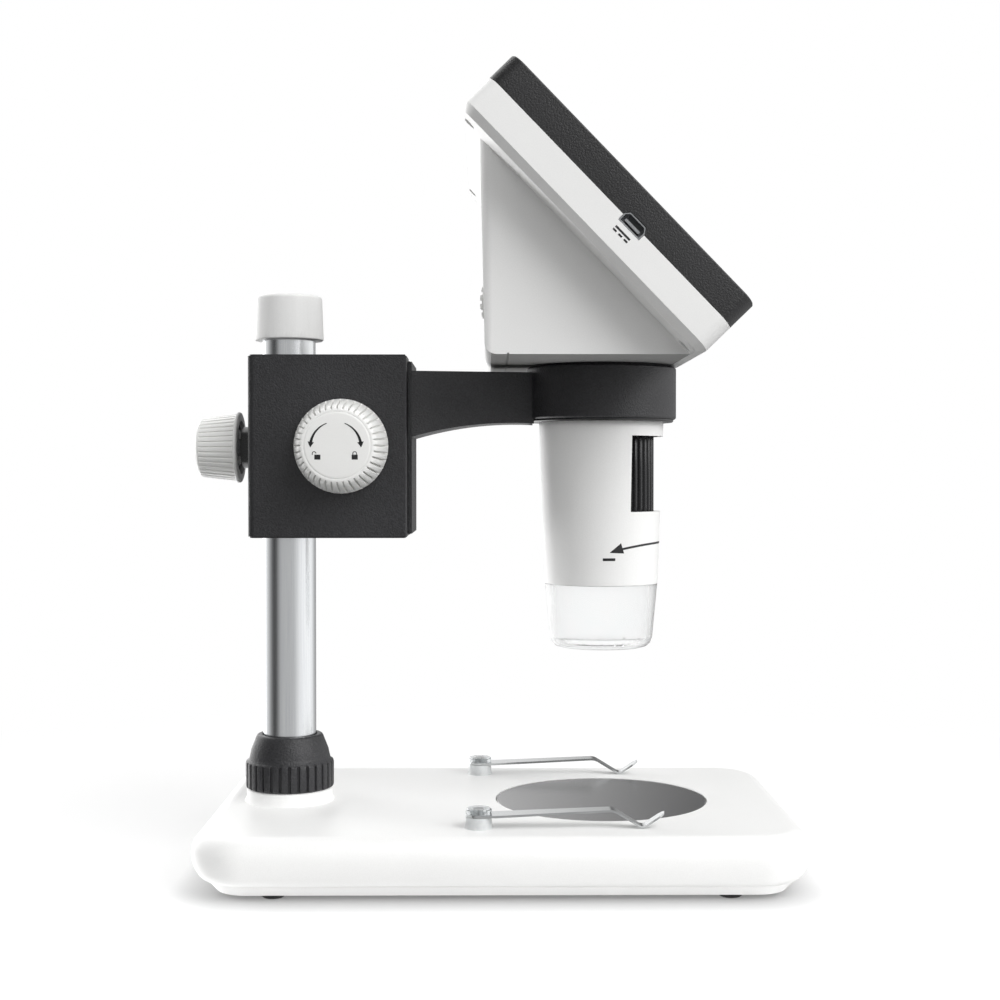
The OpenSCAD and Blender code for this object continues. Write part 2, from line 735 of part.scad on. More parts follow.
// one sprung key; column counts from the -Y end of the row
module key(column) color("#5A5C60")
    on_display() translate([key_row, (column - 2.5) * key_pitch, 0]) {
        plate(5, 11, 1.4, -2.5, 0.7);
        plate(6.4, 12.4, 1.6, -3.3, -2.45);
        rod(1.2, -4.1, -3);
    }
module key_power() key(0);
module key_menu() key(1);
module key_up() key(2);
module key_down() key(3);
module key_ok() key(4);
module key_photo() key(5);

dimmer_y = -25;
dimmer_z = 156.1;
dimmer_r = 13;
dimmer_x = wedge_top_x + dimmer_r;

module dimmer_wheel() color(white_abs)
    translate([dimmer_x, dimmer_y + 1.5, dimmer_z]) rotate([90, 0, 0]) difference() {
        linear_extrude(3) polygon(rib_outline(dimmer_r, 34, 0.6));
        translate([0, 0, -1]) cylinder(r = 2 + run, h = 5);
    }

module dimmer_pot() color("#2B2B2B")
    translate([dimmer_x, dimmer_y, dimmer_z]) {
        translate([-4.5, -5.4, -4.5]) cube([9, 3, 9]);
        rotate([90, 0, 0]) translate([0, 0, -1.4]) cylinder(r = 2, h = 4);
        translate([-5.5, -6.6, head_z + 2 - dimmer_z]) cube([14, 1.2, dimmer_z + 8 - head_z - 2]);
    }

// ---- head: the tube and what is in it ----

// outer radius of the tube at height z
function tube_r(z) = z > ring_z - 1 ? tube_d / 2
    : tube_low_d / 2 + (tube_d - tube_low_d) / 2 * (z - hood_top) / (ring_z - 1 - hood_top);
tube_wall = 1.5;
window_z = 99.4;
window_top = 120.6;
window_half = 65;                       // half the angle of the focusing window

module tube_shell() color(white_abs) {
    flange_z = head_z + 2;
    difference() {
        translate([tube_x, 0, 0]) difference() {
            turned([[0, hood_top], [tube_r(hood_top) - 0.2, hood_top], [tube_r(hood_top), hood_top + 0.2],
                    [tube_r(ring_z - 1), ring_z - 1], [tube_d / 2, flange_z], [21, flange_z],
                    [21, flange_z + 2], [0, flange_z + 2]]);
            turned([[0, hood_top - 1], [tube_r(hood_top - 1) - tube_wall, hood_top - 1],
                    [tube_d / 2 - tube_wall, ring_z - 1], [tube_d / 2 - tube_wall, flange_z + 3],
                    [0, flange_z + 3]]);
            // window through which the focusing wheel is turned
            translate([0, 0, window_z]) linear_extrude(window_top - window_z)
                polygon([[0, 0], [40 * cos(window_half), 40 * sin(window_half)], [40, 40 * sin(window_half)],
                         [40, -40 * sin(window_half)], [40 * cos(window_half), -40 * sin(window_half)]]);
            for (a = [45:90:315]) rotate(a) translate([19.2, 0, 0]) rod(0.8, flange_z - 1, flange_z + 3);
        }
        // the flange ends where the display's back begins
        on_display() translate([-100, -100, -display_t - 0.05]) cube(200);
    }
}

wheel_r = 14.95;
guide_r = 11;

module focus_wheel() color("#202022") {
    z0 = window_z - 1.6;
    z1 = window_top + 1.4;
    translate([tube_x, 0, 0]) difference() {
        union() {
            translate([0, 0, z0 + 1]) linear_extrude(z1 - z0 - 2) polygon(rib_outline(wheel_r, 44, 0.7));
            rod(wheel_r - 0.75, z0, z1);
        }
        rod(guide_r + run, z0 - 1, z1 + 1);
    }
}

module lens_guide() color("#303034") {
    z0 = 84.6;
    z1 = 127.5;
    translate([tube_x, 0, 0]) difference() {
        union() {
            rod(guide_r, z0, z1);
            turned([[0, z0], [tube_r(z0) - tube_wall - 0.02, z0], [tube_r(z0 + 2) - tube_wall - 0.02, z0 + 2],
                    [0, z0 + 2]]);
            rod(13.4, z0 + 8.6, window_z - 1.7);
        }
        rod(9.5, z0 - 1, z1 + 1);
        for (a = [0, 180]) rotate(a) translate([9, -1.1, 100]) cube([4, 2.2, 20]);
    }
}

module lens_carrier() color("#28282A")
    translate([tube_x, 0, 0]) {
        difference() {
            rod(9.5 - run, 104, 115);
            rod(6.8, 103, 116);
        }
        for (a = [0, 180]) rotate(a) translate([9.2, -0.9, 108.6]) cube([1.6, 1.8, 1.8]);
        difference() {
            rod(7.2, 108, 110);
            rod(5, 107, 111);
        }
    }

// height of a lens face of curvature radius r above its edge plane, at distance q from the axis
function lens_rise(r, edge, q) = sqrt(r * r - q * q) - sqrt(r * r - edge * edge);

// two glass elements, each thick in the middle
module lens_glass() color("#BFD6E2") {
    edge = 6.8;
    curve = 18;
    translate([tube_x, 0, 0]) for (z = [106.2, 111.8])
        turned(concat(
            [for (q = [0:1.7:edge]) [q, z - 0.5 - lens_rise(curve, edge, q)]],
            [for (q = [edge:-1.7:0]) [q, z + 0.5 + lens_rise(curve, edge, q)]]
        ));
}

module sensor_board() color("#1E5B3A")
    translate([tube_x, 0, 0]) {
        rod(15.9, 127.5, 129.1);
        translate([0, 0, 126.9]) cube([9, 9, 1.2], center = true);
        translate([6, 0, 129.9]) cube([5, 14, 1.6], center = true);
    }

// flat ribbon from the sensor up into the display housing
module sensor_ribbon() color("#C98B3A") {
    t = 0.3;
    x0 = tube_x + 6;
    bend = 150;
    end_x = display_x + 10 * cos(display_tilt) + board_back * sin(display_tilt);
    end_z = display_z - 10 * sin(display_tilt) + board_back * cos(display_tilt);
    translate([0, 6, 0]) rotate([90, 0, 0]) linear_extrude(12)
        polygon([[x0, 130.7], [x0 + t, 130.7], [x0 + t, bend], [end_x + t, end_z - t - 0.1],
                 [end_x, end_z - 0.05], [x0, bend]]);
}

module led_board() color("#E8E8E2")
    translate([tube_x, 0, 0]) difference() {
        rod(14.2, 83.2, 84.6);
        rod(6, 80, 90);
    }

module led_lamps() color("#FFF6D8")
    translate([tube_x, 0, 0]) for (i = [0:7]) rotate(i * 45) translate([10.2, 0, 0])
        turned([[0, 81.2], [0.7, 81.3], [1.2, 81.8], [1.4, 82.4], [1.4, 83.2], [0, 83.2]]);

module clear_hood() color([0.92, 0.94, 0.95, 0.45]) {
    r_top = tube_low_d / 2 - 0.1;
    r_low = 14.6;
    r_mouth = 11.9;
    wall = 1.4;
    plug_r = tube_low_d / 2 - tube_wall - 0.15;
    translate([tube_x, 0, 0])
        turned([[r_mouth, hood_z], [13, hood_z + 0.3], [14, hood_z + 1.2], [r_low, hood_z + 2.9],
                [r_top, hood_top], [plug_r, hood_top], [plug_r, hood_top + 3.4],
                [plug_r - 1, hood_top + 3.4], [plug_r - 1, hood_top - 0.6], [r_low - wall, hood_z + 3.1],
                [12.6, hood_z + 1.9], [11.6, hood_z + 1.2], [11.5, hood_z + 0.3]]);
}

base_shell();
base_bottom_cover();
rubber_feet();
base_screws();
stage_disc();
pole_collet();
pole();
pole_cap();
pole_lock_nut();
clip_posts();
clip_caps();
stage_clip_front();
stage_clip_rear();
pole_liner();
block_housing();
clamp_collar();
clamp_knob();
clamp_knob_core();
clamp_screw();
lock_knob();
pinion_shaft();
focus_pinion();
focus_knob();
slide_plate();
focus_rack();
slide_screws();
focus_arm();
ring_sleeve();
wedge_housing();
display_back();
display_bezel();
display_window();
lcd_panel();
main_board();
battery();
usb_socket();
card_socket();
key_board();
housing_screws();
key_power();
key_menu();
key_up();
key_down();
key_ok();
key_photo();
dimmer_wheel();
dimmer_pot();
tube_shell();
focus_wheel();
lens_guide();
lens_carrier();
lens_glass();
sensor_board();
sensor_ribbon();
led_board();
led_lamps();
clear_hood();
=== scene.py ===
"""Looks of a desk microscope with a built-in screen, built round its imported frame.

Blender works in metres. Sizes of the object are written in millimetres and multiplied by MM."""
import json
import math

import bmesh
import bpy
from mathutils import Matrix, Vector


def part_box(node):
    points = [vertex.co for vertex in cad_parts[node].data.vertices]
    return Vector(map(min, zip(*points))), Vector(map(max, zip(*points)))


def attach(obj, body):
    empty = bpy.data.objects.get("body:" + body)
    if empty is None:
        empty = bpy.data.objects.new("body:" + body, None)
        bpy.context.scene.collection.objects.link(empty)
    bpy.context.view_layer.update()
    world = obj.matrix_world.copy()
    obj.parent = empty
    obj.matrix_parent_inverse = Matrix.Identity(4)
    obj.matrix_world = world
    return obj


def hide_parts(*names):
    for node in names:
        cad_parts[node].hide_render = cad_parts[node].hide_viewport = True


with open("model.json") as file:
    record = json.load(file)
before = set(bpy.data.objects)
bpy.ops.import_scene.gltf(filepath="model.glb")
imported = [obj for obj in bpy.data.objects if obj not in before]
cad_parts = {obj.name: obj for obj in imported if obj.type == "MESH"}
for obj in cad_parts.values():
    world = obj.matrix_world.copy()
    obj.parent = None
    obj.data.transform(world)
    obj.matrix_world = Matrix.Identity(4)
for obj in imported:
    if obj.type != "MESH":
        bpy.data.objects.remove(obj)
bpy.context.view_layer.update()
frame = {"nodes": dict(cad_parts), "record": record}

MM = 0.001

# ---- places and sizes that several pieces share, in millimetres as in the frame ----

record = frame["record"]
BODY_OF = {node: body for body, nodes in record["behaviour"]["bodies"].items() for node in nodes}


def find(node, side, axis):
    """Where a CAD node's low side, middle or high side is along an axis, at rest, to the nearest micron."""
    low, high = (corner["xyz".index(axis)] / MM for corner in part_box(node))
    return round({"low": low, "middle": (low + high) / 2, "high": high}[side], 3)


TUBE_X = find("ring_sleeve", "middle", "x")
TUBE_Z = find("tube_shell", "low", "z")
WHEEL_Z = find("focus_wheel", "low", "z")
POLE_X = find("pole", "middle", "x")
NUT_Z = find("pole_lock_nut", "low", "z")
KNOB_X = find("lock_knob", "middle", "x")
KNOB_Z = find("lock_knob", "middle", "z")
KNOB_SIDE = find("focus_knob", "low", "y")      # the side knobs stand this far out from the middle
CLAMP_X = find("clamp_knob", "high", "x")       # wide end of the clamp knob
DIMMER_PLACE = (find("dimmer_wheel", "middle", "x"), find("dimmer_wheel", "high", "y"),
                find("dimmer_wheel", "middle", "z"))
BASE_X = find("base_shell", "middle", "x")
BASE_HALF_L = find("base_shell", "high", "x") - BASE_X
BASE_HALF_W = find("base_shell", "high", "y")
DISPLAY_HALF_W = find("display_back", "high", "y")
DISPLAY_PLACE = (35.12, 0, 183.09)              # middle of the display's front face
DISPLAY_TILT = 45.85                            # degrees between the screen and level

# on the display, from that middle: x runs down the slope, y to the user's right, z out of the screen
KEY_ROW = 33.7
KEY_PITCH = 16.0
KEY_TOP = 0.7
HOUSING_SCREW_ROWS = (-40, 38.7)
HOUSING_SCREW_SIDE = 49.2
HOUSING_SCREW_SEAT = -14.5
SIGN_X = 7.7                                    # middle of the direct-current sign
MAIN_BOARD_PARTS = -9.9                         # the parts on the main board stand above this
KEY_SWITCHES = -5.9                             # and the switches on the key board above this


def frame_at(place, outward, up):
    """Matrix of a local frame at place (mm): z along outward, y as near to up as can be, x to the right."""
    z = Vector(outward).normalized()
    x = Vector(up).cross(z).normalized()
    turn = Matrix((x, z.cross(x), z)).transposed().to_4x4()
    return Matrix.Translation(Vector(place) * MM) @ turn


ON_DISPLAY = (Matrix.Translation(Vector(DISPLAY_PLACE) * MM)
              @ Matrix.Rotation(math.radians(DISPLAY_TILT), 4, "Y"))
FROM_DISPLAY = ON_DISPLAY.inverted()


# ---- camera ----

CAMERA_PLACE = (-1.4, -450.2, 109.7)
CAMERA_LENS = 56.72             # its focal length, with a picture this wide, both in mm
PICTURE_WIDTH = 36
CAMERA_DIP = 0.915              # degrees below level
CAMERA_TURN = 0.471             # degrees towards the user's side


def add_camera():
    """Stands in front of the near side, a little below the middle of the block, and looks slightly down."""
    data = bpy.data.cameras.new("camera")
    data.lens = CAMERA_LENS
    data.sensor_width = PICTURE_WIDTH
    camera = bpy.data.objects.new("camera", data)
    camera.location = [value * MM for value in CAMERA_PLACE]
    camera.rotation_euler = (math.radians(90 - CAMERA_DIP), 0, math.radians(-CAMERA_TURN))
    bpy.context.collection.objects.link(camera)
    bpy.context.scene.camera = camera


add_camera()


# ---- materials ----

def linear(code, alpha=1.0):
    """An sRGB hex colour as the linear colour that a shader takes."""
    parts = [int(code[i:i + 2], 16) / 255 for i in (1, 3, 5)]
    return [c / 12.92 if c <= 0.04045 else ((c + 0.055) / 1.055) ** 2.4 for c in parts] + [alpha]


def put(tree, kind, feeds=None, **settings):
    """Adds a node. feeds gives its inputs, each a value or the socket that feeds it."""
    node = tree.nodes.new(kind)
    for key, value in settings.items():
        setattr(node, key, value)
    for key, value in (feeds or {}).items():
        if isinstance(value, bpy.types.NodeSocket):
            tree.links.new(value, node.inputs[key])
        else:
            node.inputs[key].default_value = value
    return node


def blank(name, **shader):
    """A new material: its tree, its shader and the object coordinates that its patterns read."""
    material = bpy.data.materials.new(name)
    material.use_nodes = True
    tree = material.node_tree
    tree.nodes.clear()
    surface = put(tree, "ShaderNodeBsdfPrincipled", {k.replace("_", " "): v for k, v in shader.items()})
    put(tree, "ShaderNodeOutputMaterial", {"Surface": surface.outputs[0]})
    place = put(tree, "ShaderNodeTexCoord").outputs["Object"]
    return material, tree, surface, place


def vary(tree, surface, pattern, colours=None, rough=None, depth=None, span=(0.3, 0.7)):
    """Lets a pattern, which runs over span, steer the surface's colour, roughness and relief in metres."""
    level = put(tree, "ShaderNodeMapRange", {"Value": pattern, "From Min": span[0], "From Max": span[1]})
    level = level.outputs["Result"]
    if colours:
        mixed = put(tree, "ShaderNodeMix", {"Factor": level}, data_type="RGBA")
        for socket, code in zip([s for s in mixed.inputs if s.type == "RGBA"], colours):
            socket.default_value = linear(code)
        colour = next(s for s in mixed.outputs if s.type == "RGBA")
        tree.links.new(colour, surface.inputs["Base Color"])
    if rough:
        spread = put(tree, "ShaderNodeMapRange", {"Value": level, "To Min": rough[0], "To Max": rough[1]})
        tree.links.new(spread.outputs["Result"], surface.inputs["Roughness"])
    if depth:
        bump = put(tree, "ShaderNodeBump", {"Height": level, "Distance": depth, "Strength": 1.0})
        tree.links.new(bump.outputs["Normal"], surface.inputs["Normal"])


def noise_of(width, place, detail=2.0):
    """The feeds of a noise whose patches are about width millimetres wide."""
    return {"Vector": place, "Scale": 1 / (width * MM), "Detail": detail}


def moulded_abs(name, colours, rough, grain, depth, ior=1.52):
    """Injection-moulded ABS from a spark-eroded tool: an even satin skin with a fine grain that breaks the
    highlight, and very broad, faint changes of gloss where the melt flowed. The grain's width and depth are
    in mm."""
    flow_width = 24
    flow_share = 0.3
    material, tree, surface, place = blank(name, IOR=ior)
    fine = put(tree, "ShaderNodeTexNoise", noise_of(grain, place, 3.0)).outputs["Fac"]
    flow = put(tree, "ShaderNodeTexNoise", noise_of(flow_width, place)).outputs["Fac"]
    mixed = put(tree, "ShaderNodeMix", {"Factor": flow_share, "A": fine, "B": flow}).outputs["Result"]
    vary(tree, surface, mixed, colours, rough)
    vary(tree, surface, fine, depth=depth * MM)
    return material


def drawn_aluminium():
    """Drawn, satin-anodised aluminium tube: fine lines along the pole stretch its reflections lengthways."""
    material, tree, surface, place = blank("drawn_anodised_aluminium", Metallic=1.0)
    # the pattern is drawn out a hundredfold along the pole
    drawn = put(tree, "ShaderNodeMapping", {"Vector": place, "Scale": (1, 1, 0.01)}).outputs[0]
    lines = put(tree, "ShaderNodeTexNoise", noise_of(0.25, drawn, 3.0)).outputs["Fac"]
    vary(tree, surface, lines, ("#E4E6E9", "#EEF0F1"), (0.15, 0.21))
    return material


def nickel_strip():
    """Rolled spring steel, bright nickel plated: mirror-like, with a soft haze along the rolling."""
    material, tree, surface, place = blank("nickel_plated_spring_steel", Metallic=1.0)
    # the pattern is 25 times as long along the strip as across it
    rolled = put(tree, "ShaderNodeMapping", {"Vector": place, "Scale": (0.04, 1, 1)}).outputs[0]
    haze = put(tree, "ShaderNodeTexNoise", noise_of(0.3, rolled)).outputs["Fac"]
    vary(tree, surface, haze, ("#C4C6C7", "#D6D8D8"), (0.14, 0.24), 0.001 * MM)
    return material


def zinc_steel():
    """Zinc-plated steel screws and shafts: grey metal with faint turning marks."""
    material, tree, surface, place = blank("zinc_plated_steel", Metallic=1.0)
    marks = put(tree, "ShaderNodeTexNoise", noise_of(0.15, place, 3.0)).outputs["Fac"]
    vary(tree, surface, marks, ("#9A9C9F", "#B4B6B8"), (0.28, 0.42), 0.004 * MM)
    return material


def cut_brass():
    """Milled brass of the rack and pinion: warm metal with fine cutter lines across it."""
    feed = 0.35                 # mm from one cutter line to the next, as coarse as they need to be to show
    material, tree, surface, place = blank("milled_brass", Metallic=1.0)
    cutter = put(tree, "ShaderNodeTexWave", {"Vector": place, "Scale": 1 / (feed * MM * math.tau),
                                             "Distortion": 1.5}, bands_direction="Y").outputs["Fac"]
    vary(tree, surface, cutter, ("#B08D4C", "#C7A765"), (0.25, 0.4), span=(0, 1))
    return material


def clear_acrylic():
    """Clear moulded acrylic of the hood, satin inside: the light comes through, the shapes behind it blur."""
    material, tree, surface, place = blank("satin_clear_acrylic", IOR=1.36, Transmission_Weight=1.0)
    haze = put(tree, "ShaderNodeTexNoise", noise_of(5, place)).outputs["Fac"]
    vary(tree, surface, haze, ("#FDFEFE", "#FFFFFF"), (0.2, 0.24))
    return material


def frosted_styrene():
    """Milky styrene of the clip posts: light goes in and comes back soft."""
    material, tree, surface, place = blank("frosted_styrene", IOR=1.55, Transmission_Weight=0.35)
    haze = put(tree, "ShaderNodeTexNoise", noise_of(1.2, place)).outputs["Fac"]
    vary(tree, surface, haze, ("#E4E7E8", "#F2F4F4"), (0.28, 0.4))
    return material


def clear_styrene():
    """Clear styrene of the clip caps, over their metal core."""
    material, tree, surface, place = blank("clear_styrene", IOR=1.55, Transmission_Weight=0.9)
    haze = put(tree, "ShaderNodeTexNoise", noise_of(2, place)).outputs["Fac"]
    vary(tree, surface, haze, ("#E9EDEF", "#F4F7F8"), (0.03, 0.08))
    return material


def printed_disc():
    """Acrylic disc, back-printed in dark grey: a level gloss that mirrors whatever stands behind it."""
    material, tree, surface, place = blank("back_printed_acrylic_disc", IOR=1.6, Coat_Weight=0.5,
                                           Coat_Roughness=0.16)
    film = put(tree, "ShaderNodeTexNoise", noise_of(30, place)).outputs["Fac"]
    vary(tree, surface, film, ("#454546", "#4B4B4C"), (0.2, 0.24))
    return material


def black_rubber():
    """Die-cut rubber feet: dull black with a dusty grain."""
    material, tree, surface, place = blank("die_cut_rubber", IOR=1.5)
    dust = put(tree, "ShaderNodeTexNoise", noise_of(0.3, place, 4.0)).outputs["Fac"]
    vary(tree, surface, dust, ("#171717", "#262626"), (0.7, 0.9), 0.02 * MM)
    return material


def pad_ink(name, colours):
    """Pad-printed ink: a flat film, a little rough where it takes the grain under it."""
    material, tree, surface, place = blank(name, IOR=1.5)
    grain = put(tree, "ShaderNodeTexNoise", noise_of(0.12, place)).outputs["Fac"]
    vary(tree, surface, grain, colours, (0.4, 0.55))
    return material


def screen_glass():
    """Toughened glass over the screen, printed black on its back: a deep, clean reflection with a faint
    film of wiping."""
    material, tree, surface, place = blank("back_printed_glass", IOR=1.52, Coat_Weight=0.4,
                                           Coat_Roughness=0.03)
    smear = put(tree, "ShaderNodeTexNoise", noise_of(18, place, 3.0)).outputs["Fac"]
    vary(tree, surface, smear, ("#08090B", "#0D0E11"), (0.03, 0.08))
    return material


def panel_film():
    """Polarising film on the dark screen panel: near black with a violet cast and its fine dot pitch."""
    dot = 0.28                  # mm
    material, tree, surface, place = blank("polarising_film", IOR=1.5, Roughness=0.2)
    dots = put(tree, "ShaderNodeTexChecker", {"Vector": place, "Scale": 1 / (dot * MM)}).outputs["Fac"]
    vary(tree, surface, dots, ("#17171D", "#1C1C24"), span=(0, 1))
    return material


def solder_mask(name, colours):
    """Printed board: gloss solder mask with copper runs that show as slightly paler, raised lines."""
    cell = 5                    # mm between the runs, which are the joints of a brick pattern
    material, tree, surface, place = blank(name, IOR=1.55, Roughness=0.3)
    runs = put(tree, "ShaderNodeTexBrick", {"Vector": place, "Scale": 1 / (cell * MM), "Mortar Size": 0.06,
                                            "Color1": (0, 0, 0, 1), "Color2": (0, 0, 0, 1),
                                            "Mortar": (1, 1, 1, 1)}).outputs["Color"]
    vary(tree, surface, runs, colours, depth=0.03 * MM, span=(0, 1))
    return material


def pouch_foil():
    """Laminated foil pouch of the cell: soft crinkles in a dull silver."""
    material, tree, surface, place = blank("laminated_foil", Metallic=0.7)
    crinkle = put(tree, "ShaderNodeTexNoise", noise_of(3, place, 4.0)).outputs["Fac"]
    vary(tree, surface, crinkle, ("#A9ADB1", "#C2C6C9"), (0.35, 0.5), 0.12 * MM)
    return material


def polyimide():
    """Polyimide film of the ribbon: amber, with the copper runs showing through lengthways."""
    pitch = 1.0                 # mm from one run to the next
    material, tree, surface, place = blank("polyimide_film", IOR=1.6, Roughness=0.25)
    runs = put(tree, "ShaderNodeTexWave", {"Vector": place, "Scale": 1 / (pitch * MM * math.tau)},
               bands_direction="Y").outputs["Fac"]
    vary(tree, surface, runs, ("#A9661F", "#CF8B3C"), span=(0, 1))
    return material


def nylon():
    """Moulded natural nylon of the sliding sleeve: waxy ivory, faintly translucent."""
    material, tree, surface, place = blank("moulded_nylon", IOR=1.53, Subsurface_Weight=0.2,
                                           Subsurface_Scale=1 * MM)
    wax = put(tree, "ShaderNodeTexNoise", noise_of(2.5, place)).outputs["Fac"]
    vary(tree, surface, wax, ("#D8D4C6", "#E3E0D4"), (0.35, 0.45))
    return material


def coated_lens():
    """Polished, coated lens glass: clear in the middle, with a magenta sheen towards its rim."""
    material, tree, surface, place = blank("coated_lens_glass", IOR=1.6, Transmission_Weight=1.0,
                                           Roughness=0.01)
    sheen = put(tree, "ShaderNodeLayerWeight", {"Blend": 0.4}).outputs["Facing"]
    vary(tree, surface, sheen, ("#E9F2F0", "#C79BC9"), span=(0, 1))
    return material


def lamp_resin():
    """Cast clear resin of the light-emitting diodes over their yellow phosphor."""
    material, tree, surface, place = blank("cast_lamp_resin", IOR=1.5, Transmission_Weight=0.3,
                                           Roughness=0.12)
    core = put(tree, "ShaderNodeTexNoise", noise_of(0.8, place, 1.0)).outputs["Fac"]
    vary(tree, surface, core, ("#F4E9A8", "#FBF6DC"))
    return material


WHITE = moulded_abs("moulded_white_abs", ("#ECECEB", "#F2F2F1"), (0.34, 0.42), 0.3, 0.004)
# greyer than the plain white: painted shade for the head's underside, which lies in shadow; its rough, pitted
# skin has next to no gloss
UNDERSIDE_PAINTED_SHADE = moulded_abs("heavily_eroded_white_abs", ("#A8A8A7", "#B2B2B1"), (0.8, 0.9), 0.5, 0.05, 1.3)
WHITE_KNOB = moulded_abs("moulded_white_abs_grip", ("#F1F1EF", "#F5F5F3"), (0.32, 0.4), 0.3, 0.004)
BLACK = moulded_abs("spark_textured_black_abs", ("#151517", "#303033"), (0.34, 0.52), 0.45, 0.08)
BEZEL = moulded_abs("spark_textured_black_abs_bezel", ("#0F0F10", "#1F1F21"), (0.38, 0.52), 0.5, 0.05)
BLACK_SMOOTH = moulded_abs("satin_black_abs", ("#0F0F11", "#17171A"), (0.22, 0.3), 0.35, 0.006)
KEY = moulded_abs("moulded_grey_key", ("#525356", "#5C5D60"), (0.38, 0.46), 0.25, 0.008)
POLE = drawn_aluminium()
NICKEL = nickel_strip()
STEEL = zinc_steel()
BRASS = cut_brass()
CLEAR = clear_acrylic()
FROSTED = frosted_styrene()
CAP_CLEAR = clear_styrene()
DISC = printed_disc()
RUBBER = black_rubber()
INK = pad_ink("pad_printed_black_ink", ("#141416", "#1E1E20"))
WHITE_INK = pad_ink("pad_printed_white_ink", ("#DCDCDC", "#E8E8E8"))
GLASS = screen_glass()
PANEL = panel_film()
BOARD = solder_mask("green_solder_mask", ("#174F31", "#2A6B45"))
WHITE_BOARD = solder_mask("white_solder_mask", ("#DAD9D2", "#E6E5DF"))
FOIL = pouch_foil()
RIBBON = polyimide()
NYLON = nylon()
LENS = coated_lens()
LAMP = lamp_resin()


# ---- making and placing pieces ----

def link(name, mesh, finish):
    """A new object at the origin that shows mesh in that finish."""
    mesh.name = name
    mesh.materials.clear()
    mesh.materials.append(finish)
    piece = bpy.data.objects.new(name, mesh)
    bpy.context.collection.objects.link(piece)
    return piece


def settle(piece):
    """Applies a piece's modifiers to its mesh."""
    bpy.context.view_layer.update()
    graph = bpy.context.evaluated_depsgraph_get()
    mesh = bpy.data.meshes.new_from_object(piece.evaluated_get(graph))
    piece.modifiers.clear()
    piece.data = mesh
    return piece


def shade(form, crease):
    """Smooth faces, with sharp edges where the surface turns by more than crease degrees."""
    for face in form.faces:
        face.smooth = True
    for edge in form.edges:
        edge.smooth = len(edge.link_faces) == 2 and edge.calc_face_angle(0) < math.radians(crease)


def close_up(piece, crease):
    """Merges a made piece's doubles, turns its faces outwards and shades it."""
    form = bmesh.new()
    form.from_mesh(piece.data)
    bmesh.ops.remove_doubles(form, verts=form.verts, dist=0.002 * MM)
    bmesh.ops.dissolve_degenerate(form, edges=form.edges, dist=0.0001 * MM)
    bmesh.ops.recalc_face_normals(form, faces=form.faces)
    shade(form, crease)
    form.to_mesh(piece.data)
    form.free()
    return piece


def round_edges(piece, width, crease):
    """Rounds the sharp edges of a piece by width in mm, if any, and keeps its flats flat."""
    if width:
        bevel = piece.modifiers.new("round", "BEVEL")
        bevel.width = width * MM
        bevel.segments = 2
        bevel.limit_method = "ANGLE"
        bevel.angle_limit = math.radians(crease)
        bevel.use_clamp_overlap = True
    weights = piece.modifiers.new("weights", "WEIGHTED_NORMAL")
    weights.keep_sharp = True
    weights.weight = 80
    return settle(piece)


def mesh_of(form, name):
    """Ends a bmesh as a mesh."""
    mesh = bpy.data.meshes.new(name)
    form.to_mesh(mesh)
    form.free()
    return mesh


def stand_for(piece, node):
    """A piece takes the place and body of a CAD node, which is hidden."""
    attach(piece, BODY_OF[node])
    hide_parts(node)
    return piece


def skin(node, finish, edge=0.0, crease=30):
    """The CAD node's own form, with smooth curves and edges rounded by edge in mm. An edge that turns by
    more than crease degrees is a sharp one."""
    form = bmesh.new()
    form.from_mesh(frame["nodes"][node].data)
    bmesh.ops.remove_doubles(form, verts=form.verts, dist=0.001 * MM)
    # each flat becomes one face again
    bmesh.ops.dissolve_limit(form, angle_limit=math.radians(0.5), verts=form.verts, edges=form.edges,
                             delimit={"NORMAL"})
    shade(form, crease)
    piece = round_edges(link(node + "_skin", mesh_of(form, node), finish), edge, crease)
    return stand_for(piece, node)


def second_finish(piece, finish, is_it):
    """Gives another finish to the faces for which is_it(middle of the face in mm) is true."""
    piece.data.materials.append(finish)
    for face in piece.data.polygons:
        if is_it(face.center / MM):
            face.material_index = 1


def higher_on_display(height):
    """A test of whether a place in mm is higher above the display's front face than that."""
    return lambda place: (FROM_DISPLAY @ (place * MM)).z > height * MM


# node and finish and, where they aren't the usual ones, edge and crease
SKINS = [
    ("base_shell", WHITE, 0.0, 40), ("base_bottom_cover", WHITE, 0.0, 40), ("rubber_feet", RUBBER, 0.2, 40),
    ("stage_disc", DISC), ("pole_collet", WHITE), ("pole", POLE), ("pole_cap", WHITE, 0.0, 50),
    ("clip_posts", FROSTED), ("clip_caps", CAP_CLEAR),
    ("stage_clip_front", NICKEL, 0.0, 50), ("stage_clip_rear", NICKEL, 0.0, 50),
    ("pole_liner", NYLON), ("block_housing", BLACK, 0.2), ("clamp_collar", BLACK_SMOOTH),
    ("clamp_knob_core", BLACK_SMOOTH), ("clamp_screw", STEEL), ("pinion_shaft", STEEL),
    ("focus_pinion", BRASS), ("focus_rack", BRASS), ("slide_plate", BLACK, 0.25), ("focus_arm", BLACK, 0.4),
    ("ring_sleeve", BLACK_SMOOTH), ("wedge_housing", WHITE, 0.3), ("display_back", WHITE, 0.3),
    ("display_bezel", BEZEL, 0.15, 50), ("display_window", GLASS), ("lcd_panel", PANEL),
    ("main_board", BOARD), ("battery", FOIL, 0.8), ("usb_socket", STEEL), ("card_socket", STEEL),
    ("key_board", BOARD), ("dimmer_pot", BLACK_SMOOTH), ("tube_shell", WHITE), ("lens_guide", BLACK_SMOOTH),
    ("lens_carrier", BLACK_SMOOTH), ("lens_glass", LENS, 0.0, 50), ("sensor_board", BOARD),
    ("sensor_ribbon", RIBBON, 0.0, 50), ("led_board", WHITE_BOARD), ("led_lamps", LAMP, 0.0, 50),
    ("clear_hood", CLEAR, 0.0, 60),
]
